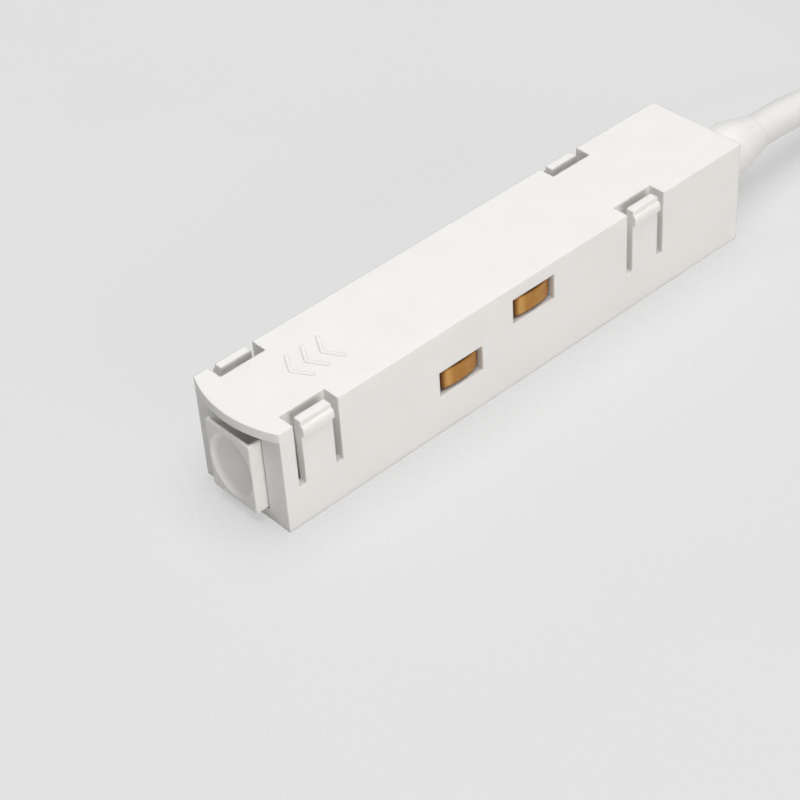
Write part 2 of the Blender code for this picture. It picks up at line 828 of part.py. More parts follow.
def lock_slider():
    """A flat spine under the roof. Its posts stand behind the tongues' nibs."""
    half = SPINE_WIDTH / 2
    post = LOCK_POST / 2
    front, rear = latch_middles()
    nose = FRONT + TAB_FROM_FRONT - TAB_THICK
    right = [
        (half, nose),
        (half, front - post),
        (POST_TIP, front - post),
        (POST_TIP, front + post),
        (half, front + post),
        (half, rear - post),
        (POST_TIP, rear - post),
        (POST_TIP, rear + post),
        (half, rear + post),
    ]
    outline = right + mirrored(-1, reversed(right))
    slider = prism(outline, SLIDER_BOTTOM, SLIDER_TOP)
    middle = FRONT + TAB_FROM_FRONT
    tab = block(
        (-TAB_WIDTH / 2, TAB_WIDTH / 2),
        (middle - TAB_THICK / 2, middle + TAB_THICK / 2),
        (BUTTON_TOP - BUTTON_WALL - ROOT, SLIDER_BOTTOM + ROOT),
    )
    return finished(plus(slider, tab), "lock_slider", SOFT_WHITE, 0.5)


def helix(radius, wire_size, turns, length, steps_a_turn):
    """Points (across, up, along) of a coil spring whose end turns lie close."""
    closed = 0.75
    rise = 1.15 * wire_size
    line = []
    for i in range(turns * steps_a_turn + 1):
        turn = i / steps_a_turn
        angle = math.tau * turn
        if turn < closed:
            place = rise * turn
        elif turn > turns - closed:
            place = length - rise * (turns - turn)
        else:
            share = (turn - closed) / (turns - 2 * closed)
            place = rise * closed + share * (length - 2 * rise * closed)
        line.append((radius * math.cos(angle), radius * math.sin(angle), place))
    return line


def return_spring():
    """The coil spring between the button and the cover's stop."""
    length = SPRING_LENGTH - SPRING_WIRE
    line = [
        placed("Y", u, BUTTON_AXIS + v, SPRING_FRONT + SPRING_WIRE / 2 + w)
        for u, v, w in helix(SPRING_RADIUS, SPRING_WIRE, SPRING_TURNS, length, 14)
    ]
    spring = wire(line, SPRING_WIRE / 2, 1)
    return finished(spring, "return_spring", STEEL, 0.3, 1.0)


# Contacts and their carrier


def contact_places():
    """Each contact's name, side, middle along the housing and middle height."""
    return [
        (
            f"{hand}_{end}",
            side,
            WINDOW_STARTS[end] + WINDOW_LENGTH / 2,
            WINDOW_BOTTOMS[end] + WINDOW_HEIGHT / 2,
        )
        for hand, side in SIDES.items()
        for end in WINDOW_STARTS
    ]


def shoe_outline(inset):
    """Half of a contact's outline, from its rear end to its front end over the top."""
    long, high = SHOE_HALF_LENGTH - inset, SHOE_HALF_HEIGHT - inset
    corner = max(CONTACT_CORNER - inset, CONTACT_WALL / 2)
    middle = (long - corner, high - corner)
    rear = arc(middle, corner, 0, 90, 4)
    flat = [(middle[0] * (1 - i / 3), high) for i in range(1, 6)]
    return rear + flat + [(-u, v) for u, v in reversed(rear)]


def contact_shoe(name, side, y, z):
    """A drawn brass shoe: its face is crowned along its length, with soft edges."""
    wall = CONTACT_WALL
    flange_back = FLANGE_FRONT - FLANGE_THICK
    skin = [(1.1 * MM, 0.0), (0.55 * MM, 0.07 * MM), (0.2 * MM, 0.27 * MM), (0.0, 0.7 * MM)]
    rings = []
    for inset, drop in skin:
        rings.append(
            [
                (CONTACT_FACE - drop - CONTACT_CROWN * (u / SHOE_HALF_LENGTH) ** 2, u, v)
                for u, v in shoe_outline(inset)
            ]
        )
    for x, inset, reach in (
        (FLANGE_FRONT + GAP / 2, 0.0, 0.0),
        (FLANGE_FRONT, 0.0, FLANGE_REACH),
        (flange_back, 0.0, FLANGE_REACH),
        (flange_back, wall, 0.0),
        (CONTACT_BACK - wall / 2, wall, 0.0),
        (CONTACT_BACK, 2 * wall, 0.0),
    ):
        rings.append(
            [(x, u + math.copysign(reach, u), v) for u, v in shoe_outline(inset)]
        )
    bm = bmesh.new()
    loops = []
    for ring in rings:
        upper = [bm.verts.new((side * x, y + u, z + v)) for x, u, v in ring]
        lower = [bm.verts.new((side * x, y + u, z - v)) for x, u, v in ring]
        loops.append(upper + lower[::-1])
    count = len(loops[0])
    for near, far in zip(loops, loops[1:]):
        for i in range(count):
            j = (i + 1) % count
            bm.faces.new((near[i], near[j], far[j], far[i]))
    face = loops[0]
    for i in range(count // 2 - 1):
        bm.faces.new((face[i], face[i + 1], face[count - 2 - i], face[count - 1 - i]))
    bm.faces.new(loops[-1])
    return finished(made(bm), f"contact_{name}", BRASS, 0.3, 1.0)


def contact_spring(name, side, y, z):
    """The small coil spring behind a contact shoe."""
    inner = POCKET_BACK + GAP + CONTACT_SPRING_WIRE / 2
    length = CONTACT_BACK - GAP - CONTACT_SPRING_WIRE / 2 - inner
    turns = helix(
        CONTACT_SPRING_RADIUS, CONTACT_SPRING_WIRE, CONTACT_SPRING_TURNS, length, 10
    )
    line = [placed("X", y + u, z + v, side * (inner + w)) for u, v, w in turns]
    spring = wire(line, CONTACT_SPRING_WIRE / 2, 1)
    return finished(spring, f"contact_spring_{name}", STEEL, 0.3, 1.0)


def busbar(name, side, y, z):
    """A brass strip from the contact's spring to a crimp for the cable's core."""
    strip = block(
        across(side, POCKET_BACK - BUSBAR_THICK, POCKET_BACK),
        (y - WINDOW_LENGTH / 4, BUSBAR_REAR),
        (z - BUSBAR_HEIGHT / 2, z + BUSBAR_HEIGHT / 2),
    )
    centre = (CRIMP_X, z)
    outline = arc(centre, CRIMP_RADIUS, -50, 230, 12) + arc(centre, CRIMP_BORE, 230, -50, 12)
    low = BUSBAR_REAR - CRIMP_LENGTH
    crimp = prism(mirrored(side, outline), low, BUSBAR_REAR + ROOT, along="Y")
    return finished(plus(strip, crimp), f"busbar_{name}", BRASS, 0.35, 1.0)


def contact_carrier():
    """The insulating block: shoe pockets, busbar grooves, slider channel and ears."""
    half = INNER - GAP
    top = ROOF_UNDER - GAP
    carrier = block((-half, half), (CARRIER_FRONT, CARRIER_REAR), (CARRIER_BOTTOM, top))
    channel = block(
        (-SPINE_WIDTH / 2 - GAP, SPINE_WIDTH / 2 + GAP),
        (CARRIER_FRONT - OVERCUT, CARRIER_REAR + OVERCUT),
        (BUTTON_TOP, top + OVERCUT),
    )
    minus(carrier, channel)
    for name, side, y, z in contact_places():
        pocket = block(
            across(side, POCKET_BACK, half + OVERCUT),
            (y - POCKET_HALF_LENGTH, y + POCKET_HALF_LENGTH),
            (z - WINDOW_HEIGHT / 2, z + WINDOW_HEIGHT / 2),
        )
        low = z - BUSBAR_HEIGHT / 2 - GAP
        outer = half + OVERCUT
        if name.endswith("front"):
            low = CARRIER_BOTTOM - OVERCUT
            outer = POCKET_BACK + GAP
        groove = block(
            across(side, POCKET_BACK - BUSBAR_THICK - GAP, outer),
            (y - WINDOW_LENGTH / 4 - GAP, CARRIER_REAR + OVERCUT),
            (low, z + BUSBAR_HEIGHT / 2 + GAP),
        )
        minus(carrier, pocket, groove)
    for name, (x, y) in boss_places().items():
        inner_end = CARRIER_FRONT + ROOT if y < 0 else CARRIER_REAR - ROOT
        outer_end = 2 * y - (CARRIER_FRONT if y < 0 else CARRIER_REAR)
        ear = block(
            across(math.copysign(1, x), abs(x) - BOSS_RADIUS, half),
            tuple(sorted((inner_end, outer_end))),
            (CARRIER_BOTTOM, EAR_TOP),
        )
        hole = turned(
            (
                (0.0, CARRIER_BOTTOM - OVERCUT),
                (PILOT_RADIUS, CARRIER_BOTTOM - OVERCUT),
                (PILOT_RADIUS, EAR_TOP + OVERCUT),
                (0.0, EAR_TOP + OVERCUT),
            ),
            (x, y),
            steps=14,
        )
        plus(carrier, ear)
        minus(carrier, hole)
    return finished(carrier, "contact_carrier", SOFT_WHITE, 0.55)


def screw(name, x, y, head_bottom):
    """A self-tapping screw driven upwards, with its head below."""
    shoulder = head_bottom + HEAD_HEIGHT
    tip = shoulder + GAP + SCREW_LENGTH - OVERCUT
    profile = (
        (0.0, head_bottom + HEAD_HEIGHT / 2),
        (HEAD_RADIUS * 0.4, head_bottom + HEAD_HEIGHT / 2),
        (HEAD_RADIUS * 0.4, head_bottom),
        (HEAD_RADIUS * 0.8, head_bottom),
        (HEAD_RADIUS, head_bottom + HEAD_HEIGHT / 3),
        (HEAD_RADIUS, shoulder),
        (SCREW_RADIUS, shoulder),
        (SCREW_RADIUS, tip - 2 * SCREW_RADIUS),
        (0.0, tip),
    )
    return finished(turned(profile, (x, y), steps=12), name, STEEL, 0.35, 1.0)


# Cable entry


def strain_relief():
    """The soft boot: a flange inside the wall, a neck through it and a bell outside."""
    inside = REAR - WALL - GAP
    face = REAR + GAP
    end = REAR + RELIEF_LENGTH
    tip = CABLE_BORE + RELIEF_TIP_WALL
    swell = RELIEF_RADIUS - tip
    profile = (
        (CABLE_BORE, inside - RELIEF_FLANGE),
        (RELIEF_RADIUS, inside - RELIEF_FLANGE),
        (RELIEF_RADIUS, inside),
        (NECK_RADIUS, inside),
        (NECK_RADIUS, face),
        (RELIEF_RADIUS, face),
        (RELIEF_RADIUS, REAR + 0.52 * RELIEF_LENGTH),
        (tip + 0.93 * swell, REAR + 0.62 * RELIEF_LENGTH),
        (tip + 0.72 * swell, REAR + 0.72 * RELIEF_LENGTH),
        (tip + 0.42 * swell, REAR + 0.82 * RELIEF_LENGTH),
        (tip + 0.14 * swell, REAR + 0.91 * RELIEF_LENGTH),
        (tip, REAR + 0.97 * RELIEF_LENGTH),
        (tip - 0.15 * MM, end),
        (CABLE_BORE, end),
    )
    boot = turned(profile, (0.0, CABLE_HEIGHT), "Y", steps=28, bored=True)
    return finished(boot, "strain_relief", SOFT_WHITE, 0.55)


def cable_clamp():
    """A strap that holds the cable up in the saddle, with two screwed ears."""
    ear_top = CABLE_HEIGHT - GAP
    ear_end = CLAMP_SCREW_X + BOSS_RADIUS
    middle = (0.0, CABLE_HEIGHT)
    outer_start = math.degrees(math.asin((GAP + CLAMP_THICK) / CLAMP_OUTER))
    inner_start = math.degrees(math.asin(GAP / CABLE_BORE))
    outline = [(-ear_end, ear_top), (-ear_end, CLAMP_EAR_BOTTOM)]
    outline += arc(middle, CLAMP_OUTER, 180 + outer_start, 360 - outer_start, 14)
    outline += [(ear_end, CLAMP_EAR_BOTTOM), (ear_end, ear_top)]
    outline += arc(middle, CABLE_BORE, 360 - inner_start, 180 + inner_start, 14)
    low = CLAMP_MIDDLE - CLAMP_LENGTH / 2
    strap = prism(outline, low, low + CLAMP_LENGTH, along="Y")
    for side in SIDES.values():
        hole = turned(
            (
                (0.0, CLAMP_EAR_BOTTOM - OVERCUT),
                (PILOT_RADIUS, CLAMP_EAR_BOTTOM - OVERCUT),
                (PILOT_RADIUS, ear_top + OVERCUT),
                (0.0, ear_top + OVERCUT),
            ),
            (side * CLAMP_SCREW_X, CLAMP_MIDDLE),
            steps=14,
        )
        minus(strap, hole)
    return finished(strap, "cable_clamp", SOFT_WHITE, 0.5)


def cable_line():
    """The points of the cable's way, in metres."""
    return [
        Vector((0.0, REAR + back * MM, CABLE_HEIGHT + down * (HANK_REST - CABLE_HEIGHT)))
        for back, down in CABLE_ROUTE
    ]


def core(name, side, z, colour):
    """A cable core from its crimp, where it is bare, to the end of the sheath."""
    sheath = cable_line()[0]
    bare_end = BUSBAR_REAR - CRIMP_LENGTH + ROOT
    crimp = Vector((side * CRIMP_X, BUSBAR_REAR + GAP, z))
    up = 1 if name.endswith("rear") else -1
    end = Vector((side * CORE_OFFSET, sheath.y - GAP, sheath.z + up * CORE_OFFSET))
    room = (end.y - crimp.y) / 3
    bare = [Vector((crimp.x, y, z)) for y in (bare_end, crimp.y)]
    bend = smooth_line(
        [
            crimp + Vector((0.0, 2 * GAP, 0.0)),
            crimp + Vector((0.0, room, 0.0)),
            end - Vector((0.0, room, 0.0)),
            end,
        ],
        3 * CORE_RADIUS,
    )
    share = STRAND_RADIUS / CORE_RADIUS
    lead = wire(bare + bend, CORE_RADIUS, 1, thin_points=2, thin_share=share)
    return finished(lead, name, colour, 0.45)


# Cable outside, its hank and its far end


def cable_lead():
    """The cable from its inner end to where it runs into the hank."""
    lead = wire(smooth_line(cable_line(), 1.3 * CABLE_DIAMETER), CABLE_RADIUS, 3)
    return finished(lead, "cable", SOFT_WHITE, 0.5)


def stadium(radius, steps):
    """Outline of the hank at a distance from the middle of its folds."""
    near = arc((HANK_FOLD_RADIUS, HANK_NEAR), radius, 180, 360, steps)
    far = arc((HANK_FOLD_RADIUS, HANK_FAR), radius, 0, 180, steps)
    return near + far


def cable_hank():
    """The outer form of two turns of cable, with the cable's way in and way out."""
    round_edge = CABLE_RADIUS * 0.5
    sections = (
        (CABLE_RADIUS - round_edge, HANK_FLOOR),
        (CABLE_RADIUS, HANK_FLOOR + round_edge),
        (CABLE_RADIUS, HANK_TOP - round_edge),
        (CABLE_RADIUS - round_edge, HANK_TOP),
    )
    bm = bmesh.new()
    rings = []
    for out, z in sections:
        outline = stadium(HANK_FOLD_RADIUS + out, 12)
        rings.append([bm.verts.new((x, y, z)) for x, y in outline])
    for out, z in reversed(sections):
        outline = stadium(HANK_FOLD_RADIUS - out, 12)
        rings.append([bm.verts.new((x, y, z)) for x, y in outline])
    count = len(rings[0])
    for low, high in zip(rings, rings[1:] + rings[:1]):
        for i in range(count):
            j = (i + 1) % count
            bm.faces.new((low[i], low[j], high[j], high[i]))
    hank = made(bm)
    inlet_end = cable_line()[-1].y + GAP
    inlet = (
        (0.0, inlet_end),
        (CABLE_RADIUS, inlet_end),
        (CABLE_RADIUS, HANK_NEAR + CABLE_RADIUS),
        (0.0, HANK_NEAR + CABLE_RADIUS),
    )
    way_in = turned(inlet, (0.0, HANK_REST), "Y", steps=16)
    return finished(plus(hank, way_in, rising_turn()), "cable_hank", SOFT_WHITE, 0.5)


def rising_turn():
    """The near fold where the cable climbs on to the hank's top. It has come up
    before it meets the way in again."""
    count = 16
    rings = []
    for i in range(count + 1):
        angle = 350 - 170 * i / count
        turn = math.radians(angle)
        out = Vector((math.cos(turn), math.sin(turn), 0.0))
        share = min((350 - angle) / 115, 1.0)
        rise = share * share * (3 - 2 * share)
        centre = Vector((HANK_FOLD_RADIUS, HANK_NEAR, 0.0)) + HANK_FOLD_RADIUS * out
        centre.z = TAIL_HEIGHT + (rise - 1) * (CABLE_DIAMETER + 2 * GAP)
        ring = []
        for k in range(16):
            angle = math.tau * (k + 0.5) / 16
            reach = CABLE_RADIUS - GAP / 2 if i == 0 else CABLE_RADIUS
            ring.append(
                centre + reach * (math.cos(angle) * out + Vector((0.0, 0.0, math.sin(angle))))
            )
        rings.append(ring)
    return lofted(rings)


def hank_tie(hand, x, top):
    """A hook and loop strap round one run of the hank."""
    half = CABLE_RADIUS + TIE_SLACK
    middle = (TIE_THICK + top + TIE_SLACK) / 2
    y = HANK_NEAR + 1.5 * TIE_WIDTH
    rings = []
    for out in (0.0, TIE_THICK):
        half_high = middle - TIE_THICK + out
        outline = rounded_rectangle(half + out, half_high, half / 2 + out, 4)
        rings.append([(x + u, middle + v) for u, v in outline])
    strap = prism(rings[1], y - TIE_WIDTH / 2, y + TIE_WIDTH / 2, along="Y")
    inside = prism(rings[0], y - TIE_WIDTH, y + TIE_WIDTH, along="Y")
    return finished(minus(strap, inside), f"hank_tie_{hand}", (0.03, 0.03, 0.03, 1.0), 0.8)


def cable_tail():
    """The last length of cable, which lies on top of the hank."""
    line = [Vector((0.0, HANK_NEAR + GAP, TAIL_HEIGHT))]
    count = 6
    for i in range(1, count + 1):
        share = i / count
        y = HANK_NEAR + share * HANK_STRAIGHT
        line.append(Vector((0.0, y, TAIL_HEIGHT)))
    for x, y in arc((HANK_FOLD_RADIUS, HANK_FAR), HANK_FOLD_RADIUS, 180, 0, 9)[1:]:
        line.append(Vector((x, y, TAIL_HEIGHT)))
    line.append(Vector((2 * HANK_FOLD_RADIUS, (HANK_FAR + TAIL_END) / 2, TAIL_HEIGHT)))
    line.append(Vector((2 * HANK_FOLD_RADIUS, TAIL_END, TAIL_HEIGHT)))
    return finished(wire(line, CABLE_RADIUS, 3), "cable_tail", SOFT_WHITE, 0.5)


def end_core_routes():
    """Each free core's points, from the end of the sheath to its ferrule."""
    rest = HANK_TOP + GAP + CORE_RADIUS
    spread = 3.6 * CORE_RADIUS
    routes = []
    for i in range(len(CORE_COLOURS)):
        offset = (i - 1.5) * spread
        start = Vector(
            (
                2 * HANK_FOLD_RADIUS + math.copysign(CORE_OFFSET, offset),
                TAIL_END - GAP,
                TAIL_HEIGHT + math.copysign(CORE_OFFSET, abs(offset) - spread),
            )
        )
        end = Vector((2 * HANK_FOLD_RADIUS + offset, TAIL_END - END_CORE_LENGTH, rest))
        room = Vector((0.0, 8 * MM, 0.0))
        routes.append([start, start - room / 2, end + room, end])
    return routes


def end_core(index, route):
    lead = wire(smooth_line(route, 3 * CORE_RADIUS), CORE_RADIUS, 1)
    return finished(lead, f"end_core_{index}", CORE_COLOURS[index - 1], 0.45)


def end_ferrule(index, route):
    """A crimped wire ferrule: a wide collar that narrows to a tin tube."""
    x, y, z = route[-1] - Vector((0.0, GAP, 0.0))
    profile = (
        (0.0, y),
        (1.35 * CORE_RADIUS, y),
        (1.25 * CORE_RADIUS, y - 0.36 * FERRULE_LENGTH),
        (0.62 * CORE_RADIUS, y - 0.47 * FERRULE_LENGTH),
        (0.62 * CORE_RADIUS, y - FERRULE_LENGTH),
        (0.0, y - FERRULE_LENGTH),
    )
    ferrule = turned(profile, (x, z + 0.35 * CORE_RADIUS), "Y", steps=10)
    return finished(ferrule, f"end_ferrule_{index}", TIN, 0.35, 1.0)


def build():
    clear_scene()
    housing_shell()
    base_cover()
    release_button()
    lock_slider()
    return_spring()
    contact_carrier()
    for colour, (name, side, y, z) in zip(CORE_COLOURS, contact_places()):
        contact_shoe(name, side, y, z)
        contact_spring(name, side, y, z)
        busbar(name, side, y, z)
        core(f"core_{name}", side, z, colour)
    for name, (x, y) in boss_places().items():
        screw(f"carrier_screw_{name}", x, y, CARRIER_BOTTOM - GAP - HEAD_HEIGHT)
    cable_clamp()
    for hand, side in SIDES.items():
        low = CLAMP_EAR_BOTTOM - GAP - HEAD_HEIGHT
        screw(f"clamp_screw_{hand}", side * CLAMP_SCREW_X, CLAMP_MIDDLE, low)
    strain_relief()
    cable_lead()
    cable_hank()
    cable_tail()
    hank_tie("left", 0.0, HANK_TOP + GAP + CABLE_DIAMETER)
    hank_tie("right", 2 * HANK_FOLD_RADIUS, HANK_TOP)
    for index, route in enumerate(end_core_routes(), 1):
        end_core(index, route)
        end_ferrule(index, route)


build()
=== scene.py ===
# %% [markdown]
# # A power feed for a lighting track
#
# The object is a white moulded box, 136 mm long, that clips into a slim
# lighting track. Four tongues hold it there, four sprung brass contacts carry
# the current, and a round cable comes in at its rear end. The solids come from
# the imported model, and this lesson gives them their looks.
#
# The frame is loaded first. Every piece made below sits in the same metres as
# the solids, so nothing has to be fitted by eye.

# %% Load the frame
import math

import bmesh
import bpy
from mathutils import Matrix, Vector


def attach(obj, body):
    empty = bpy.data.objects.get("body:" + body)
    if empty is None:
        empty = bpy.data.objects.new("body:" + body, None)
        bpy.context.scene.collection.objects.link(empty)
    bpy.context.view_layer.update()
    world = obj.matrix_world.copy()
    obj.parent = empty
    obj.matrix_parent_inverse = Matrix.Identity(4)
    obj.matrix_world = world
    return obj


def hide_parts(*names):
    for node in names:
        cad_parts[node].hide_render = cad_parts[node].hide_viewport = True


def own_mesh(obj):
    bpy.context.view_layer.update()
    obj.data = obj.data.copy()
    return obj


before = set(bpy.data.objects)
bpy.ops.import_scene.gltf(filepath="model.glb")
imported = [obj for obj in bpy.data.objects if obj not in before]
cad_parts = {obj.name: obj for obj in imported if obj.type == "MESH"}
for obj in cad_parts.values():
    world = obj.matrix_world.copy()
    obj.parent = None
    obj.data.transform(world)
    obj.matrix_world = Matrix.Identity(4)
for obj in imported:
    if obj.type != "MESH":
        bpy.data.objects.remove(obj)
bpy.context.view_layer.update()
scene = bpy.context.scene

# %% [markdown]
# ## The camera
#
# It stands where the photographer stood: in front of the feed's right-hand
# side and about 40 degrees up. The place, the turn and the lens came from
# setting the feed's measured corners against their places in the photo. A long
# lens keeps the box's edges nearly parallel.

# %% Camera
MM = 0.001
LENS = 95.545
CAMERA_PLACE = (0.262694, -0.248936, 0.289197)
CAMERA_TURN = (50.03523, 3.21304, 46.96751)

camera_data = bpy.data.cameras.new("camera")
camera_data.lens = LENS
camera_data.clip_start = 0.01
camera = bpy.data.objects.new("camera", camera_data)
camera.location = CAMERA_PLACE
camera.rotation_euler = [math.radians(angle) for angle in CAMERA_TURN]
scene.collection.objects.link(camera)
scene.camera = camera
print("Camera:", round(Vector(CAMERA_PLACE).length, 3), "m from the feed's middle")

# %% [markdown]
# ## Tools for finishes
#
# Every finish below is one Principled shader with patterns from noise. The
# noise reads the object's own metres, so a pattern keeps its real size on
# every piece. A moulding never has a razor edge, so each finish also softens
# the light along its edges by the width of the real mould's small radius.

# %% Finish tools
EDGE_SAMPLES = 6


def new_finish(name, colour, roughness, metallic=0.0):
    """A material with its shader, and the place on the piece for its patterns."""
    material = bpy.data.materials.new(name)
    material.use_nodes = True
    tree = material.node_tree
    shader = tree.nodes["Principled BSDF"]
    shader.inputs["Base Color"].default_value = (*colour, 1.0)
    shader.inputs["Roughness"].default_value = roughness
    shader.inputs["Metallic"].default_value = metallic
    place = tree.nodes.new("ShaderNodeTexCoord").outputs["Object"]
    return material, tree, shader, place


def noise(tree, place, size, detail=2.0, stretch=(1.0, 1.0, 1.0)):
    """Noise with spots of about the given size in metres."""
    mapping = tree.nodes.new("ShaderNodeMapping")
    mapping.inputs["Scale"].default_value = stretch
    tree.links.new(place, mapping.inputs["Vector"])
    spots = tree.nodes.new("ShaderNodeTexNoise")
    spots.inputs["Scale"].default_value = 1.0 / size
    spots.inputs["Detail"].default_value = detail
    tree.links.new(mapping.outputs["Vector"], spots.inputs["Vector"])
    return spots.outputs["Fac"]


def between(tree, value, low, high, start=0.3, end=0.7):
    """Spreads a pattern's values over a range of numbers."""
    spread = tree.nodes.new("ShaderNodeMapRange")
    spread.inputs["From Min"].default_value = start
    spread.inputs["From Max"].default_value = end
    spread.inputs["To Min"].default_value = low
    spread.inputs["To Max"].default_value = high
    tree.links.new(value, spread.inputs["Value"])
    return spread.outputs["Result"]


def two_tones(tree, value, one, other):
    """Mixes two colours by a pattern. Each is a colour or another pattern."""
    mix = tree.nodes.new("ShaderNodeMix")
    mix.data_type = "RGBA"
    for label, tone in (("A", one), ("B", other)):
        if isinstance(tone, tuple):
            mix.inputs[label].default_value = (*tone, 1.0)
        else:
            tree.links.new(tone, mix.inputs[label])
    tree.links.new(value, mix.inputs["Factor"])
    return mix.outputs["Result"]


def soft_edges(tree, radius):
    """The surface's direction with its edges rounded by a small radius."""
    edge = tree.nodes.new("ShaderNodeBevel")
    edge.samples = EDGE_SAMPLES
    edge.inputs["Radius"].default_value = radius
    return edge.outputs["Normal"]


def relief(tree, shader, height, depth, base=None):
    """Raises a pattern by a depth in metres, over an earlier direction."""
    bump = tree.nodes.new("ShaderNodeBump")
    bump.inputs["Strength"].default_value = 1.0
    bump.inputs["Distance"].default_value = depth
    tree.links.new(height, bump.inputs["Height"])
    if base is not None:
        tree.links.new(base, bump.inputs["Normal"])
    tree.links.new(bump.outputs["Normal"], shader.inputs["Normal"])


# %% [markdown]
# ## White plastic
#
# The housing, the button and the inner mouldings are a slightly warm white
# plastic from a spark-eroded mould, which leaves a grain of about a tenth of a
# millimetre. Two noises do it: a fine one for the grain, and a broad, very
# faint one for the colour, because no moulding is one flat white. White
# plastic is also a little milky: light goes in and comes out beside, which
# lifts its corners and slots.

# %% White plastic
EDGE_RADIUS = 0.35 * MM
CLOUD_SIZE = 9 * MM
CLOUD_SHADE = 0.975
SMOOTHER, ROUGHER = -0.05, 0.06
PLASTIC_IOR = 1.49
MILKY_TINT = (1.0, 0.9, 0.8)
MILKY_REACH = 1.0 * MM
WHITE = (0.85, 0.835, 0.815)


def moulded(name, colour, roughness, grain, grain_depth, milky=0.5):
    """A moulded plastic with a fine grain and soft edges, milky where it is thick."""
    material, tree, shader, place = new_finish(name, colour, roughness)
    fine = noise(tree, place, grain, 3.0)
    broad = noise(tree, place, CLOUD_SIZE, 2.0)
    deeper = tuple(CLOUD_SHADE * part for part in colour)
    tree.links.new(
        two_tones(tree, between(tree, broad, 0.0, 1.0), colour, deeper),
        shader.inputs["Base Color"],
    )
    tree.links.new(
        between(tree, fine, roughness + SMOOTHER, roughness + ROUGHER),
        shader.inputs["Roughness"],
    )
    relief(tree, shader, fine, grain_depth, soft_edges(tree, EDGE_RADIUS))
    shader.inputs["IOR"].default_value = PLASTIC_IOR
    shader.inputs["Subsurface Weight"].default_value = milky
    shader.inputs["Subsurface Radius"].default_value = MILKY_TINT
    shader.inputs["Subsurface Scale"].default_value = MILKY_REACH
    return material


white_plastic = moulded("white_plastic", WHITE, 0.46, 0.16 * MM, 0.006 * MM)
button_plastic = moulded(
    "button_plastic", (0.84, 0.825, 0.805), 0.42, 0.14 * MM, 0.005 * MM
)
inner_plastic = moulded("inner_plastic", (0.80, 0.79, 0.77), 0.5, 0.18 * MM, 0.008 * MM)
soft_white = moulded("soft_white", (0.78, 0.77, 0.755), 0.58, 0.12 * MM, 0.004 * MM)
mark_white = moulded("mark_white", WHITE, 0.46, 0.16 * MM, 0.006 * MM, milky=0.0)
print("White plastics:", white_plastic.name, button_plastic.name, soft_white.name)

# %% [markdown]
# ## Brass, steel and tin
#
# The contacts are drawn from brass strip, so fine scratches run along their
# length, and handling leaves faint, browner clouds. The scratches are noise
# that is drawn out along the length. Springs and screws get a plain bright
# steel, and the ferrules a duller tin.

# %% Metals
SCRATCH_SIZE = 0.12 * MM
SCRATCH_DEPTH = 0.004 * MM
SCRATCH_STRETCH = {"Y": (1.0, 0.05, 1.0), "Z": (1.0, 1.0, 0.05)}
TARNISH_SIZE = 2.6 * MM
METAL_EDGE = 0.2 * MM
BRASS = ((0.52, 0.25, 0.065), (0.46, 0.21, 0.05), 0.28)


def drawn_metal(name, colour, tarnish, roughness, along="Y"):
    """A metal with scratches along one axis and faint clouds of tarnish."""
    material, tree, shader, place = new_finish(name, colour, roughness, 1.0)
    scratch = noise(tree, place, SCRATCH_SIZE, 4.0, SCRATCH_STRETCH[along])
    cloud = noise(tree, place, TARNISH_SIZE, 3.0)
    tree.links.new(
        two_tones(tree, between(tree, cloud, 0.0, 1.0, 0.35, 0.7), colour, tarnish),
        shader.inputs["Base Color"],
    )
    tree.links.new(
        between(tree, scratch, roughness - 0.07, roughness + 0.1),
        shader.inputs["Roughness"],
    )
    relief(tree, shader, scratch, SCRATCH_DEPTH, soft_edges(tree, METAL_EDGE))
    return material


brass = drawn_metal("brass", *BRASS)
steel = drawn_metal("spring_steel", (0.58, 0.58, 0.59), (0.50, 0.50, 0.51), 0.28, "Z")
tin = drawn_metal("tin", (0.66, 0.66, 0.64), (0.58, 0.57, 0.55), 0.38)
print("Metals:", brass.name, steel.name, tin.name)

# %% [markdown]
# A contact's crowned face gets painted light. Its rim is painted dark brown:
# painted shade for the shadow and dark reflection where its edges curve away
# into the window. The rim is found by the distance from a rounded rectangle
# near the contact's middle, set a little back, so it reaches farther in at the
# front end. A band near the front end is painted lighter: a painted highlight.

# %% Brass of the contacts
# These numbers place the painted shade on the rim and the painted highlight band.
SHOE_HALF = (3.9 * MM, 1.2 * MM)
SHADE_RIM_RANGE = (0.6 * MM, 1.9 * MM)
SHADE_RIM_SHIFT = (0.6 * MM, -0.05 * MM)
HIGHLIGHT_PLACE = -3.3 * MM
HIGHLIGHT_HALF = 1.5 * MM
HIGHLIGHT_SHARE = 0.75
# The first colour is the painted shade on the rim, the second the painted highlight.
PAINTED_SHADE_BROWN = (0.075, 0.024, 0.008)
PAINTED_HIGHLIGHT_BRASS = (0.74, 0.42, 0.14)
CONTACT_MIDDLES = {
    "front": (-19.7 * MM, 12.55 * MM),
    "rear": (1.75 * MM, 19.2 * MM),
}
ANY_DEPTH = 1.0


def vector_step(tree, operation, value, other=None):
    """One step of arithmetic on a place."""
    step = tree.nodes.new("ShaderNodeVectorMath")
    step.operation = operation
    tree.links.new(value, step.inputs[0])
    if other is not None:
        step.inputs[1].default_value = other
    return step.outputs["Value" if operation == "LENGTH" else "Vector"]


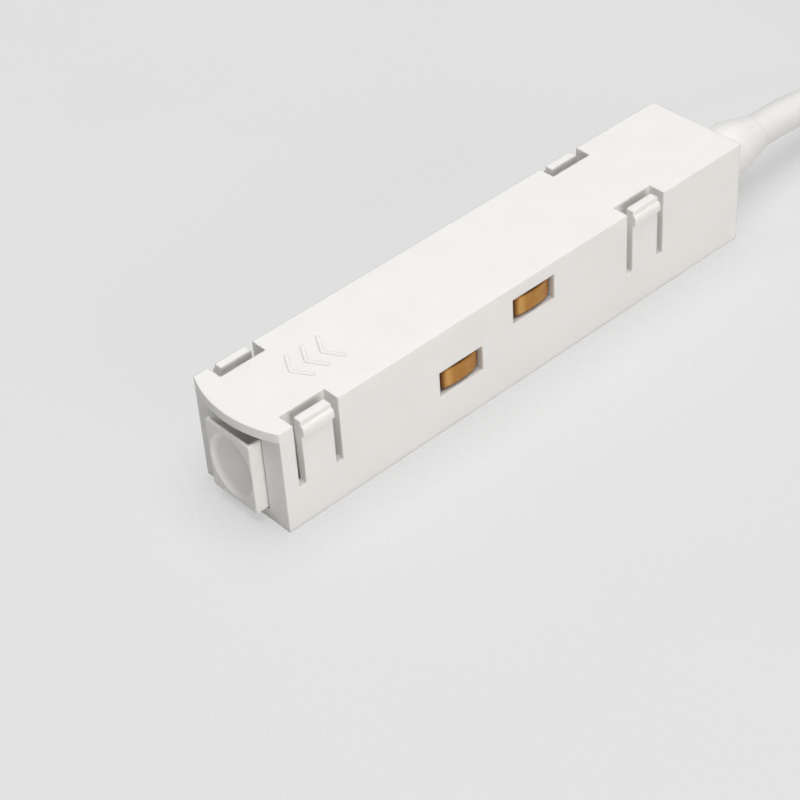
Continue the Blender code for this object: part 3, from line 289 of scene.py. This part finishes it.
def contact_brass_painted_light(name, y, z):
    """Brass with painted shade on its rim and a painted highlight band, about one
    contact's middle.
    """
    material = drawn_metal(name, *BRASS)
    tree = material.node_tree
    shader = tree.nodes["Principled BSDF"]
    face = shader.inputs["Base Color"].links[0].from_socket
    place = tree.nodes["Texture Coordinate"].outputs["Object"]
    from_middle = vector_step(tree, "SUBTRACT", place, (0.0, y, z))
    past = vector_step(tree, "SUBTRACT", from_middle, (0.0, *SHADE_RIM_SHIFT))
    past = vector_step(tree, "ABSOLUTE", past)
    past = vector_step(tree, "SUBTRACT", past, (ANY_DEPTH, *SHOE_HALF))
    past = vector_step(tree, "MAXIMUM", past, (0.0, 0.0, 0.0))
    # Painted shade: darker towards the rim, standing in for the window's shadow and
    # dark reflection.
    painted_shade = between(tree, vector_step(tree, "LENGTH", past), 0.0, 1.0, *SHADE_RIM_RANGE)
    # Painted highlight: a lighter band across the face near its front end.
    band = vector_step(tree, "SUBTRACT", from_middle, (0.0, HIGHLIGHT_PLACE, 0.0))
    band = vector_step(tree, "MULTIPLY", band, (0.0, 1.0, 0.0))
    band = vector_step(tree, "LENGTH", band)
    painted_highlight = between(tree, band, HIGHLIGHT_SHARE, 0.0, 0.0, HIGHLIGHT_HALF)
    colour = two_tones(tree, painted_highlight, face, PAINTED_HIGHLIGHT_BRASS)
    tree.links.new(two_tones(tree, painted_shade, colour, PAINTED_SHADE_BROWN), shader.inputs["Base Color"])
    return material


contact_finishes = {
    end: contact_brass_painted_light(f"contact_brass_painted_light_{end}", *middle)
    for end, middle in CONTACT_MIDDLES.items()
}
print("Contact finishes:", sorted(contact_finishes))

# %% [markdown]
# ## Tools for pieces
#
# What follows a path or repeats is grown by Geometry Nodes. A tree is built
# here in the script with named inputs, run on a small base mesh, and its
# result is kept as a plain mesh, which any other program can read.

# %% Piece tools
WELD = 0.001 * MM
SHARP_ANGLE = math.radians(40)


def new_tree(name, *inputs):
    """An empty node tree with named inputs, and its first and last node."""
    tree = bpy.data.node_groups.new(name, "GeometryNodeTree")
    for label, kind in (("Geometry", "Geometry"), *inputs):
        tree.interface.new_socket(
            name=label, in_out="INPUT", socket_type=f"NodeSocket{kind}"
        )
    tree.interface.new_socket(
        name="Geometry", in_out="OUTPUT", socket_type="NodeSocketGeometry"
    )
    return tree, tree.nodes.new("NodeGroupInput"), tree.nodes.new("NodeGroupOutput")


def node(tree, kind, **settings):
    """A node of a kind, with its settings."""
    made = tree.nodes.new(f"GeometryNode{kind}")
    for setting, value in settings.items():
        setattr(made, setting, value)
    return made


def close_tree(tree, geometry, start, end):
    """Ends a tree: instances become real, and the finish goes on."""
    real = node(tree, "RealizeInstances")
    finish = node(tree, "SetMaterial")
    tree.links.new(geometry, real.inputs["Geometry"])
    tree.links.new(real.outputs["Geometry"], finish.inputs["Geometry"])
    tree.links.new(start.outputs["Finish"], finish.inputs["Material"])
    tree.links.new(finish.outputs["Geometry"], end.inputs["Geometry"])


def base_mesh(points, edges=()):
    """A bare mesh of points and edges for a tree to work on."""
    mesh = bpy.data.meshes.new("base")
    mesh.from_pydata([tuple(point) for point in points], list(edges), [])
    base = bpy.data.objects.new("base", mesh)
    scene.collection.objects.link(base)
    return base


def grown(name, tree, base, body, **values):
    """Runs a tree on its base and keeps the result as one plain piece."""
    modifier = base.modifiers.new(tree.name, "NODES")
    modifier.node_group = tree
    for socket in tree.interface.items_tree:
        if socket.in_out == "INPUT" and socket.name in values:
            modifier[socket.identifier] = values[socket.name]
    bpy.context.view_layer.update()
    graph = bpy.context.evaluated_depsgraph_get()
    mesh = bpy.data.meshes.new_from_object(base.evaluated_get(graph))
    base.modifiers.clear()
    bpy.data.objects.remove(base)
    form = bmesh.new()
    form.from_mesh(mesh)
    bmesh.ops.remove_doubles(form, verts=form.verts, dist=WELD)
    bmesh.ops.recalc_face_normals(form, faces=form.faces)
    form.to_mesh(mesh)
    form.free()
    mesh.shade_smooth()
    mesh.set_sharp_from_angle(angle=SHARP_ANGLE)
    piece = bpy.data.objects.new(name, mesh)
    scene.collection.objects.link(piece)
    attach(piece, body)
    print(name, "has", len(mesh.polygons), "faces")
    return piece


# %% [markdown]
# ## The way of the cable
#
# The cable leaves the rear wall level, comes down to the floor in an easy
# curve, and its spare length lies behind the feed as a hank: two turns folded
# in line with the feed, and the last length on top. One function reads a
# smooth curve through a few points, and the turns are plain arcs and
# straights, because a tied hank keeps to them.

# %% Cable route
CABLE_DIAMETER = 8.4 * MM
CABLE_EXIT = (0.0, 67.85 * MM, 12.7 * MM)
CABLE_LEVEL = 5.2 * MM
FOLD_RADIUS = 25.2 * MM
NEAR_FOLD = 162.35 * MM
FAR_FOLD = 250.55 * MM
LAYER_HEIGHTS = (5.2 * MM, 13.6 * MM, 22.3 * MM)
TAIL_END = 222.326 * MM
CLIMB_START = 350.0
CLIMB_TURN = 115.0

# Each point of the way down is the distance behind the rear wall in mm, and
# the share of the drop to the floor.
LEAD = (
    (-17.7, 0.0),
    (-9.0, 0.0),
    (0.0, 0.0),
    (10.0, 0.0),
    (20.0, 0.0),
    (29.0, 0.02),
    (38.0, 0.127),
    (46.0, 0.313),
    (53.0, 0.553),
    (60.0, 0.793),
    (66.5, 0.947),
    (73.4, 1.0),
)


def smooth_line(points, count):
    """Points on a smooth curve through the given ones, count to each stretch."""
    ends = [2 * points[0] - points[1], *points, 2 * points[-1] - points[-2]]
    line = []
    for before, start, end, after in zip(ends, ends[1:], ends[2:], ends[3:]):
        for i in range(count):
            t = i / count
            line.append(
                0.5
                * (
                    2 * start
                    + (end - before) * t
                    + (2 * before - 5 * start + 4 * end - after) * t**2
                    + (3 * start - before - 3 * end + after) * t**3
                )
            )
    return line + [points[-1]]


def straight(x, start, end, height, count=6):
    """A run of the hank along the feed's length, without its last point."""
    return [
        Vector((x, start + (end - start) * i / count, height)) for i in range(count)
    ]


def fold(middle, start, end, low, high, count=20):
    """Half a turn, in degrees. It climbs while it is clear of the way in."""
    line = []
    for i in range(count):
        angle = start + (end - start) * i / count
        share = min(max((CLIMB_START - angle) / CLIMB_TURN, 0.0), 1.0)
        rise = share * share * (3 - 2 * share)
        turn = math.radians(angle)
        line.append(
            Vector(
                (
                    FOLD_RADIUS * (1 + math.cos(turn)),
                    middle + FOLD_RADIUS * math.sin(turn),
                    low + rise * (high - low),
                )
            )
        )
    return line


def cable_route():
    """The whole centre line, from the clamp inside to the end of the sheath."""
    drop = CABLE_LEVEL - CABLE_EXIT[2]
    lead = [
        Vector((0.0, CABLE_EXIT[1] + back * MM, CABLE_EXIT[2] + down * drop))
        for back, down in LEAD
    ]
    line = smooth_line(lead, 4)
    width = 2 * FOLD_RADIUS
    for low, high in zip(LAYER_HEIGHTS, LAYER_HEIGHTS[1:]):
        line += straight(0.0, NEAR_FOLD, FAR_FOLD, low)
        line += fold(FAR_FOLD, 180, 0, low, low)
        line += straight(width, FAR_FOLD, NEAR_FOLD, low)
        line += fold(NEAR_FOLD, 360, 180, low, high)
    top = LAYER_HEIGHTS[-1]
    line += straight(0.0, NEAR_FOLD, FAR_FOLD, top)
    line += fold(FAR_FOLD, 180, 0, top, top)
    line += straight(width, FAR_FOLD, TAIL_END, top)
    return line + [Vector((width, TAIL_END, top))]


cable_line = cable_route()

# %% [markdown]
# ## Cable and cores
#
# A round cable is a circle carried along its line. The same tree makes the
# four cores that come out of the sheath's end, with another radius.

# %% Tree for a flex
flex_tree, flex_in, flex_out = new_tree(
    "flex_along_a_line", ("Radius", "Float"), ("Sides", "Int"), ("Finish", "Material")
)
flex_path = node(flex_tree, "MeshToCurve")
flex_round = node(flex_tree, "CurvePrimitiveCircle")
flex_sweep = node(flex_tree, "CurveToMesh")
flex_tree.links.new(flex_in.outputs["Geometry"], flex_path.inputs["Mesh"])
flex_tree.links.new(flex_in.outputs["Radius"], flex_round.inputs["Radius"])
flex_tree.links.new(flex_in.outputs["Sides"], flex_round.inputs["Resolution"])
flex_tree.links.new(flex_path.outputs["Curve"], flex_sweep.inputs["Curve"])
flex_tree.links.new(flex_round.outputs["Curve"], flex_sweep.inputs["Profile Curve"])
flex_sweep.inputs["Fill Caps"].default_value = True
close_tree(flex_tree, flex_sweep.outputs["Mesh"], flex_in, flex_out)


def flex(name, line, radius, sides, finish):
    """A round flex along a line of points."""
    base = base_mesh(line, [(i, i + 1) for i in range(len(line) - 1)])
    return grown(
        name, flex_tree, base, "housing", Radius=radius, Sides=sides, Finish=finish
    )


# %% [markdown]
# The sheath is soft white plastic, a little duller than the housing, with the
# very shallow waves that the cores inside leave on it.

# %% Cable
CABLE_SIDES = 32

sheath_white = moulded("cable_sheath", (0.74, 0.73, 0.715), 0.55, 0.5 * MM, 0.008 * MM)
cable = flex("power_cable", cable_line, CABLE_DIAMETER / 2, CABLE_SIDES, sheath_white)

# %% [markdown]
# The far end is bare: four insulated cores, each with a crimped ferrule, ready
# for a terminal block.

# %% Cores
CORE_RADIUS = 1.05 * MM
CORE_SIDES = 16
CORE_OFFSET = 1.5 * MM
CORE_LENGTH = 28.0 * MM
CORE_REST = 19.15 * MM
CORE_SPACING = 3.6 * CORE_RADIUS
CORE_START = 0.3 * MM
CORE_BEND = 8 * MM
CORE_COLOURS = {
    "brown": (0.16, 0.06, 0.03),
    "blue": (0.03, 0.10, 0.42),
    "black": (0.02, 0.02, 0.02),
    "grey": (0.28, 0.28, 0.28),
}

insulation = {}
cores = []
core_ends = []
for i, (shade, colour) in enumerate(CORE_COLOURS.items()):
    offset = (i - 1.5) * CORE_SPACING
    start = Vector(
        (
            2 * FOLD_RADIUS + math.copysign(CORE_OFFSET, offset),
            TAIL_END + CORE_START,
            LAYER_HEIGHTS[-1] + math.copysign(CORE_OFFSET, abs(offset) - CORE_SPACING),
        )
    )
    end = Vector((2 * FOLD_RADIUS + offset, TAIL_END - CORE_LENGTH, CORE_REST))
    bend = Vector((0.0, CORE_BEND, 0.0))
    insulation[shade] = moulded(
        f"core_{shade}", colour, 0.42, 0.3 * MM, 0.004 * MM, milky=0.0
    )
    line = smooth_line([start, start - bend / 2, end + bend, end], 8)
    cores.append(
        flex(f"free_core_{shade}", line, CORE_RADIUS, CORE_SIDES, insulation[shade])
    )
    core_ends.append(end)

# %% [markdown]
# ## Ferrules
#
# Each ferrule is a plastic collar that narrows to a tinned tube. One collar
# and one tube are turned like parts on a lathe, and a tree sets a copy of each
# at the four core ends.

# %% Turned forms


def turned(profile, steps=24):
    """A closed form turned about -Y from (radius, distance) points."""
    form = bmesh.new()
    rings = []
    for radius, distance in profile:
        turns = [math.tau * i / steps for i in range(steps)] if radius else [0.0]
        rings.append(
            [
                form.verts.new((radius * math.cos(a), -distance, radius * math.sin(a)))
                for a in turns
            ]
        )
    for near, far in zip(rings, rings[1:]):
        for i in range(steps):
            j = (i + 1) % steps
            corners = (near[i % len(near)], near[j % len(near)])
            corners += (far[j % len(far)], far[i % len(far)])
            form.faces.new(tuple(dict.fromkeys(corners)))
    mesh = bpy.data.meshes.new("turned")
    bmesh.ops.recalc_face_normals(form, faces=form.faces)
    form.to_mesh(mesh)
    form.free()
    return mesh


# %% Tree for what repeats at points
copies_tree, copies_in, copies_out = new_tree(
    "copies_at_points", ("Form", "Object"), ("Finish", "Material")
)
copies_form = node(copies_tree, "ObjectInfo")
copies_set = node(copies_tree, "InstanceOnPoints")
copies_tree.links.new(copies_in.outputs["Form"], copies_form.inputs["Object"])
copies_tree.links.new(copies_in.outputs["Geometry"], copies_set.inputs["Points"])
copies_tree.links.new(copies_form.outputs["Geometry"], copies_set.inputs["Instance"])
close_tree(copies_tree, copies_set.outputs["Instances"], copies_in, copies_out)


def copies(name, mesh, places, body, finish):
    """One mesh of a turned form repeated at some places."""
    form = bpy.data.objects.new("form", mesh)
    scene.collection.objects.link(form)
    base = base_mesh(places)
    piece = grown(name, copies_tree, base, body, Form=form, Finish=finish)
    bpy.data.objects.remove(form)
    return piece


# %% Ferrules
FERRULE_LIFT = 0.37 * MM
COLLAR_PROFILE = (
    (0.0, 0.3),
    (1.22, 0.3),
    (1.40, 0.45),
    (1.42, 0.8),
    (1.32, 3.9),
    (1.10, 4.6),
    (0.72, 5.3),
    (0.0, 5.3),
)
TUBE_PROFILE = ((0.0, 5.2), (0.66, 5.2), (0.66, 10.9), (0.60, 11.25), (0.0, 11.25))

ferrule_places = [end + Vector((0.0, 0.0, FERRULE_LIFT)) for end in core_ends]
collar_plastic = moulded(
    "ferrule_collar", (0.55, 0.56, 0.58), 0.4, 0.3 * MM, 0.003 * MM, milky=0.0
)
collars, tubes = [
    copies(
        name,
        turned([(radius * MM, distance * MM) for radius, distance in profile]),
        ferrule_places,
        "housing",
        finish,
    )
    for name, profile, finish in (
        ("ferrule_collars", COLLAR_PROFILE, collar_plastic),
        ("ferrule_tubes", TUBE_PROFILE, tin),
    )
]
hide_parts("end_ferrule_1", "end_ferrule_2", "end_ferrule_3", "end_ferrule_4")
for number, piece in enumerate(cores, 1):
    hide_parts(f"end_core_{number}")

# %% [markdown]
# ## Hook and loop ties
#
# Two black straps hold the hank. A strap is a flat band that goes once round
# the runs and on over its own start, where its hooks grip. Its way is a row of
# points, so the tree only carries a flat bar along them. The band is felt-like
# outside, which a coarse noise gives.

# %% Strap finish
FELT = (0.03, 0.03, 0.032)
FELT_DARK = (0.012, 0.012, 0.014)
FELT_LIGHT = (0.075, 0.075, 0.08)
FIBRE_SIZE = 0.25 * MM
FIBRE_HEIGHT = 0.12 * MM

felt, felt_tree, felt_shader, felt_place = new_finish("tie_felt", FELT, 0.9)
felt_fibres = noise(felt_tree, felt_place, FIBRE_SIZE, 6.0)
felt_tree.links.new(
    two_tones(felt_tree, felt_fibres, FELT_DARK, FELT_LIGHT),
    felt_shader.inputs["Base Color"],
)
relief(felt_tree, felt_shader, felt_fibres, FIBRE_HEIGHT)
felt_shader.inputs["Sheen Weight"].default_value = 0.35
felt_shader.inputs["Sheen Roughness"].default_value = 0.5
print("Strap finish:", felt.name)

# %% Tree for a strap
strap_tree, strap_in, strap_out = new_tree(
    "band_along_a_line", ("Thick", "Float"), ("Wide", "Float"), ("Finish", "Material")
)
strap_path = node(strap_tree, "MeshToCurve")
strap_band = node(strap_tree, "CurvePrimitiveQuadrilateral")
strap_sweep = node(strap_tree, "CurveToMesh")
strap_stand = node(strap_tree, "Transform")
strap_sweep.inputs["Fill Caps"].default_value = True
strap_stand.inputs["Rotation"].default_value = (math.radians(90), 0.0, 0.0)
strap_tree.links.new(strap_in.outputs["Geometry"], strap_path.inputs["Mesh"])
for source, target in (("Thick", "Width"), ("Wide", "Height")):
    strap_tree.links.new(strap_in.outputs[source], strap_band.inputs[target])
strap_tree.links.new(strap_path.outputs["Curve"], strap_sweep.inputs["Curve"])
strap_tree.links.new(strap_band.outputs["Curve"], strap_sweep.inputs["Profile Curve"])
strap_tree.links.new(strap_sweep.outputs["Mesh"], strap_stand.inputs["Geometry"])
close_tree(strap_tree, strap_stand.outputs["Geometry"], strap_in, strap_out)

# %% Ties
TIE_PLACE = 174.35 * MM
TIE_WIDE = 8.0 * MM
TIE_THICK = 0.6 * MM
TIE_CORNER = 2.6 * MM
TIE_LAP = TIE_THICK + 0.05 * MM
TIE_SLACK = 0.8 * MM
TIE_HALF = (CABLE_DIAMETER + TIE_SLACK + TIE_THICK) / 2
CORNER_STEPS = 8
LAP_START, LAP_END = 0.32, 0.7
LAP_BACK = 1.0 * MM
TIES = (
    ("hank_tie_left", -1, 0.0, 27.5 * MM),
    ("hank_tie_right", 1, 2 * FOLD_RADIUS, 18.8 * MM),
)


def strap_line(side, top):
    """Up the outer side, round the runs, and up again over the band's start."""
    low, high = TIE_THICK / 2, top - TIE_THICK / 2
    across = TIE_HALF - TIE_CORNER
    line = [(TIE_HALF, LAP_START * top)]
    for x, z, start in (
        (across, high - TIE_CORNER, 0),
        (-across, high - TIE_CORNER, 90),
        (-across, low + TIE_CORNER, 180),
        (across, low + TIE_CORNER, 270),
    ):
        for i in range(CORNER_STEPS + 1):
            turn = math.radians(start + 90 * i / CORNER_STEPS)
            line.append(
                (x + TIE_CORNER * math.cos(turn), z + TIE_CORNER * math.sin(turn))
            )
    line.append((TIE_HALF + TIE_LAP, LAP_START * top - LAP_BACK))
    line.append((TIE_HALF + TIE_LAP, LAP_END * top))
    return [(side * x, z, 0.0) for x, z in line]


for name, side, x, top in TIES:
    line = strap_line(side, top)
    tie = grown(
        name.replace("hank_tie", "strap"),
        strap_tree,
        base_mesh(line, [(i, i + 1) for i in range(len(line) - 1)]),
        "housing",
        Thick=TIE_THICK,
        Wide=TIE_WIDE,
        Finish=felt,
    )
    for corner in tie.data.vertices:
        corner.co += Vector((x, TIE_PLACE, 0.0))
    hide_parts(name)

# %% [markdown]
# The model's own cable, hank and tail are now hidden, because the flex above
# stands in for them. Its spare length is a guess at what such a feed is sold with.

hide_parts("cable", "cable_hank", "cable_tail")

# %% [markdown]
# ## Springs
#
# Five coil springs work inside. One brings the button back, and one stands
# behind each contact. The end turns of a coil lie close, so that it stands
# straight, and the rest rise evenly. A spring is a wire along such a line,
# which the flex tree makes.

# %% Tools for springs
SPRING_SIDES = 10
TURN_STEPS = 24
CLOSE_TURNS = 0.75
CLOSE_RISE = 1.15


def coil(radius, wire, turns, length):
    """Points (across, up, along) on a coil with close end turns."""
    rise = CLOSE_RISE * wire
    ends = rise * CLOSE_TURNS
    line = []
    for i in range(turns * TURN_STEPS + 1):
        turn = i / TURN_STEPS
        share = (turn - CLOSE_TURNS) / (turns - 2 * CLOSE_TURNS)
        place = ends + share * (length - wire - 2 * ends)
        if turn < CLOSE_TURNS:
            place = rise * turn
        elif turn > turns - CLOSE_TURNS:
            place = length - wire - rise * (turns - turn)
        angle = math.tau * turn
        line.append((radius * math.cos(angle), radius * math.sin(angle), place))
    return line


def spring(name, line, wire):
    """A steel coil spring along a line, in place of the model's spring."""
    piece = flex(name.replace("spring", "coil"), line, wire / 2, SPRING_SIDES, steel)
    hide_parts(name)
    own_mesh(piece)


# %% Spring of the button
BUTTON_HEIGHT = 11.6 * MM
SPRING_START = -67.75 * MM
SPRING_LENGTH = 19.8 * MM
SPRING_RADIUS = 3.4 * MM
SPRING_WIRE = 0.8 * MM
SPRING_TURNS = 7

spring(
    "return_spring",
    [
        Vector((across, SPRING_START + SPRING_WIRE / 2 + along, BUTTON_HEIGHT + up))
        for across, up, along in coil(
            SPRING_RADIUS, SPRING_WIRE, SPRING_TURNS, SPRING_LENGTH
        )
    ],
    SPRING_WIRE,
)

# %% Springs of the contacts
CONTACT_SPRING_FOOT = 5.9 * MM
SHORT_LENGTH = 5.22 * MM
SHORT_RADIUS = 1.4 * MM
SHORT_WIRE = 0.45 * MM
SHORT_TURNS = 4

short_coil = coil(SHORT_RADIUS, SHORT_WIRE, SHORT_TURNS, SHORT_LENGTH)
for hand, side in (("left", -1), ("right", 1)):
    for end, (y, z) in CONTACT_MIDDLES.items():
        first = CONTACT_SPRING_FOOT + SHORT_WIRE / 2
        spring(
            f"contact_spring_{hand}_{end}",
            [
                Vector((side * (first + along), y + across, z + up))
                for across, up, along in short_coil
            ],
            SHORT_WIRE,
        )

# %% [markdown]
# ## Finishes on the solids
#
# The solids that no piece replaces keep their shapes. Each gets the finish of
# the real part, by the start of its name, and the cores inside go on in the
# colours that they have at the cable's far end.

# %% Dress the solids
FINISHES = {
    "housing_shell": white_plastic,
    "base_cover": white_plastic,
    "release_button": button_plastic,
    "lock_slider": inner_plastic,
    "contact_carrier": inner_plastic,
    "cable_clamp": inner_plastic,
    "strain_relief": soft_white,
    "carrier_screw": steel,
    "clamp_screw": steel,
    "contact_left_front": contact_finishes["front"],
    "contact_left_rear": contact_finishes["rear"],
    "contact_right_front": contact_finishes["front"],
    "contact_right_rear": contact_finishes["rear"],
    "busbar": brass,
}
INNER_CORES = ("left_front", "left_rear", "right_front", "right_rear")
for place, shade in zip(INNER_CORES, CORE_COLOURS):
    FINISHES[f"core_{place}"] = insulation[shade]

shown = {
    name: solid for name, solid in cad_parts.items() if not solid.hide_render
}
for name, solid in shown.items():
    start = next(start for start in FINISHES if name.startswith(start))
    for slot in solid.material_slots:
        slot.material = FINISHES[start]
print("Dressed", len(shown), "solids")

# %% [markdown]
# ## A mark on the top
#
# Behind the button the top plate carries a raised mark: three plain chevrons
# that point to the button. One is drawn as a bent line, and the tree carries a
# flat bar along it and repeats it.

# %% Tree for the chevrons
mark_tree, mark_in, mark_out = new_tree(
    "row_of_chevrons",
    ("Count", "Int"),
    ("Step", "Vector"),
    ("Stroke", "Float"),
    ("Thick", "Float"),
    ("Finish", "Material"),
)
mark_path = node(mark_tree, "MeshToCurve")
mark_bar = node(mark_tree, "CurvePrimitiveQuadrilateral")
mark_sweep = node(mark_tree, "CurveToMesh")
mark_row = node(mark_tree, "MeshLine")
mark_set = node(mark_tree, "InstanceOnPoints")
mark_sweep.inputs["Fill Caps"].default_value = True
mark_tree.links.new(mark_in.outputs["Geometry"], mark_path.inputs["Mesh"])
mark_tree.links.new(mark_in.outputs["Stroke"], mark_bar.inputs["Width"])
mark_tree.links.new(mark_in.outputs["Thick"], mark_bar.inputs["Height"])
mark_tree.links.new(mark_path.outputs["Curve"], mark_sweep.inputs["Curve"])
mark_tree.links.new(mark_bar.outputs["Curve"], mark_sweep.inputs["Profile Curve"])
mark_tree.links.new(mark_in.outputs["Count"], mark_row.inputs["Count"])
mark_tree.links.new(mark_in.outputs["Step"], mark_row.inputs["Offset"])
mark_tree.links.new(mark_row.outputs["Mesh"], mark_set.inputs["Points"])
mark_tree.links.new(mark_sweep.outputs["Mesh"], mark_set.inputs["Instance"])
close_tree(mark_tree, mark_set.outputs["Instances"], mark_in, mark_out)

# %% Chevrons
TOP = 25.6 * MM
MARK_PLACE = -53.6 * MM
MARK_HALF = 4.4 * MM
MARK_DEPTH = 2.6 * MM
MARK_COUNT = 3
MARK_STEP = 4.2 * MM
MARK_STROKE = 0.9 * MM
MARK_THICK = 0.24 * MM

chevron = [
    (-MARK_HALF, MARK_PLACE + MARK_DEPTH, TOP),
    (0.0, MARK_PLACE, TOP),
    (MARK_HALF, MARK_PLACE + MARK_DEPTH, TOP),
]
press_mark = grown(
    "press_mark",
    mark_tree,
    base_mesh(chevron, [(0, 1), (1, 2)]),
    "housing",
    Count=MARK_COUNT,
    Step=(0.0, MARK_STEP, 0.0),
    Stroke=MARK_STROKE,
    Thick=MARK_THICK,
    Finish=mark_white,
)

# %% [markdown]
# ## Floor
#
# The photo was taken over a pale, finely plastered ground. A large plane
# stands for it, with a fine grain and very faint, broad clouds. The photo's
# ground is also lit on its own, so seen directly a share of the floor shines by
# itself, and the shadow on it stays but is light. Farther out all of it shines
# by itself, which keeps the lamps' own patches off the floor. The light that it
# throws back on the object is that of a slightly darker ground, so the front,
# which faces away from both lamps, stays as shaded as in the photo.

# %% Floor
GROUND = (0.72, 0.72, 0.72)
GROUND_CLOUD = (0.705, 0.705, 0.705)
GROUND_THROWN_BACK = (0.55, 0.55, 0.55)
OWN_LIGHT = 0.6
OWN_STRENGTH = 1.07
NEAR_GROUND = 0.25
FAR_GROUND = 0.5
GROUND_CLOUD_SIZE = 60 * MM
LUMP_SIZE = 0.7 * MM
LUMP_HEIGHT = 0.14 * MM
HALF_FLOOR = 3.0

plaster, plaster_tree, plaster_shader, plaster_place = new_finish(
    "plaster", GROUND, 0.75
)
clouds = noise(plaster_tree, plaster_place, GROUND_CLOUD_SIZE, 2.0)
ground = two_tones(plaster_tree, clouds, GROUND, GROUND_CLOUD)
lumps = noise(plaster_tree, plaster_place, LUMP_SIZE, 4.0)
relief(plaster_tree, plaster_shader, lumps, LUMP_HEIGHT)

rays = plaster_tree.nodes.new("ShaderNodeLightPath")
seen = rays.outputs["Is Camera Ray"]
for ray in ("Is Glossy Ray", "Is Transmission Ray"):
    add = plaster_tree.nodes.new("ShaderNodeMath")
    add.operation = "ADD"
    plaster_tree.links.new(seen, add.inputs[0])
    plaster_tree.links.new(rays.outputs[ray], add.inputs[1])
    seen = add.outputs["Value"]
lit = two_tones(plaster_tree, seen, GROUND_THROWN_BACK, ground)
plaster_tree.links.new(lit, plaster_shader.inputs["Base Color"])

away = vector_step(plaster_tree, "LENGTH", plaster_place)
share = between(plaster_tree, away, OWN_LIGHT, 1.0, NEAR_GROUND, FAR_GROUND)
own = plaster_tree.nodes.new("ShaderNodeMath")
own.operation = "MULTIPLY"
plaster_tree.links.new(seen, own.inputs[0])
plaster_tree.links.new(share, own.inputs[1])
glow = plaster_tree.nodes.new("ShaderNodeEmission")
plaster_tree.links.new(ground, glow.inputs["Color"])
glow.inputs["Strength"].default_value = OWN_STRENGTH
both = plaster_tree.nodes.new("ShaderNodeMixShader")
plaster_tree.links.new(own.outputs["Value"], both.inputs["Fac"])
plaster_tree.links.new(plaster_shader.outputs["BSDF"], both.inputs[1])
plaster_tree.links.new(glow.outputs["Emission"], both.inputs[2])
plaster_out = plaster_tree.nodes["Material Output"]
plaster_tree.links.new(both.outputs["Shader"], plaster_out.inputs["Surface"])

floor_mesh = bpy.data.meshes.new("floor")
corners = [
    (x * HALF_FLOOR, y * HALF_FLOOR, 0.0)
    for x, y in ((-1, -1), (1, -1), (1, 1), (-1, 1))
]
floor_mesh.from_pydata(corners, [], [(0, 1, 2, 3)])
floor_mesh.materials.append(plaster)
floor = bpy.data.objects.new("floor", floor_mesh)
scene.collection.objects.link(floor)
print("Floor:", 2 * HALF_FLOOR, "m wide")

# %% [markdown]
# ## Light
#
# The light in the photo is very soft. The top is brightest, the long side is a
# little darker, and the front end is much darker. So one wide lamp hangs right
# above, a second and slightly warmer one stands low on the right, and a faint
# even world fills the rest. Nothing shines from the front, which keeps the
# hollow over the button dark.

# %% Light
WORLD_STRENGTH = 0.12
WORLD_COLOUR = (1.0, 0.995, 0.985, 1.0)

# Each lamp's place, width, power and colour
LAMPS = {
    "overhead_softbox": ((0.0, 0.05, 1.6), 1.6, 29.2, (1.0, 1.0, 1.0)),
    "side_softbox": ((1.3, -0.28, 0.28), 0.8, 10.0, (1.0, 0.975, 0.95)),
}

world = bpy.data.worlds.new("world")
world.use_nodes = True
sky = world.node_tree.nodes["Background"]
sky.inputs["Color"].default_value = WORLD_COLOUR
sky.inputs["Strength"].default_value = WORLD_STRENGTH
scene.world = world

for name, (place, size, power, colour) in LAMPS.items():
    lamp_data = bpy.data.lights.new(name, "AREA")
    lamp_data.size = size
    lamp_data.energy = power
    lamp_data.color = colour
    lamp = bpy.data.objects.new(name, lamp_data)
    lamp.location = place
    lamp.rotation_euler = (-Vector(place)).to_track_quat("-Z", "Y").to_euler()
    scene.collection.objects.link(lamp)
scene.view_settings.view_transform = "Standard"
print("Lamps:", sorted(LAMPS))
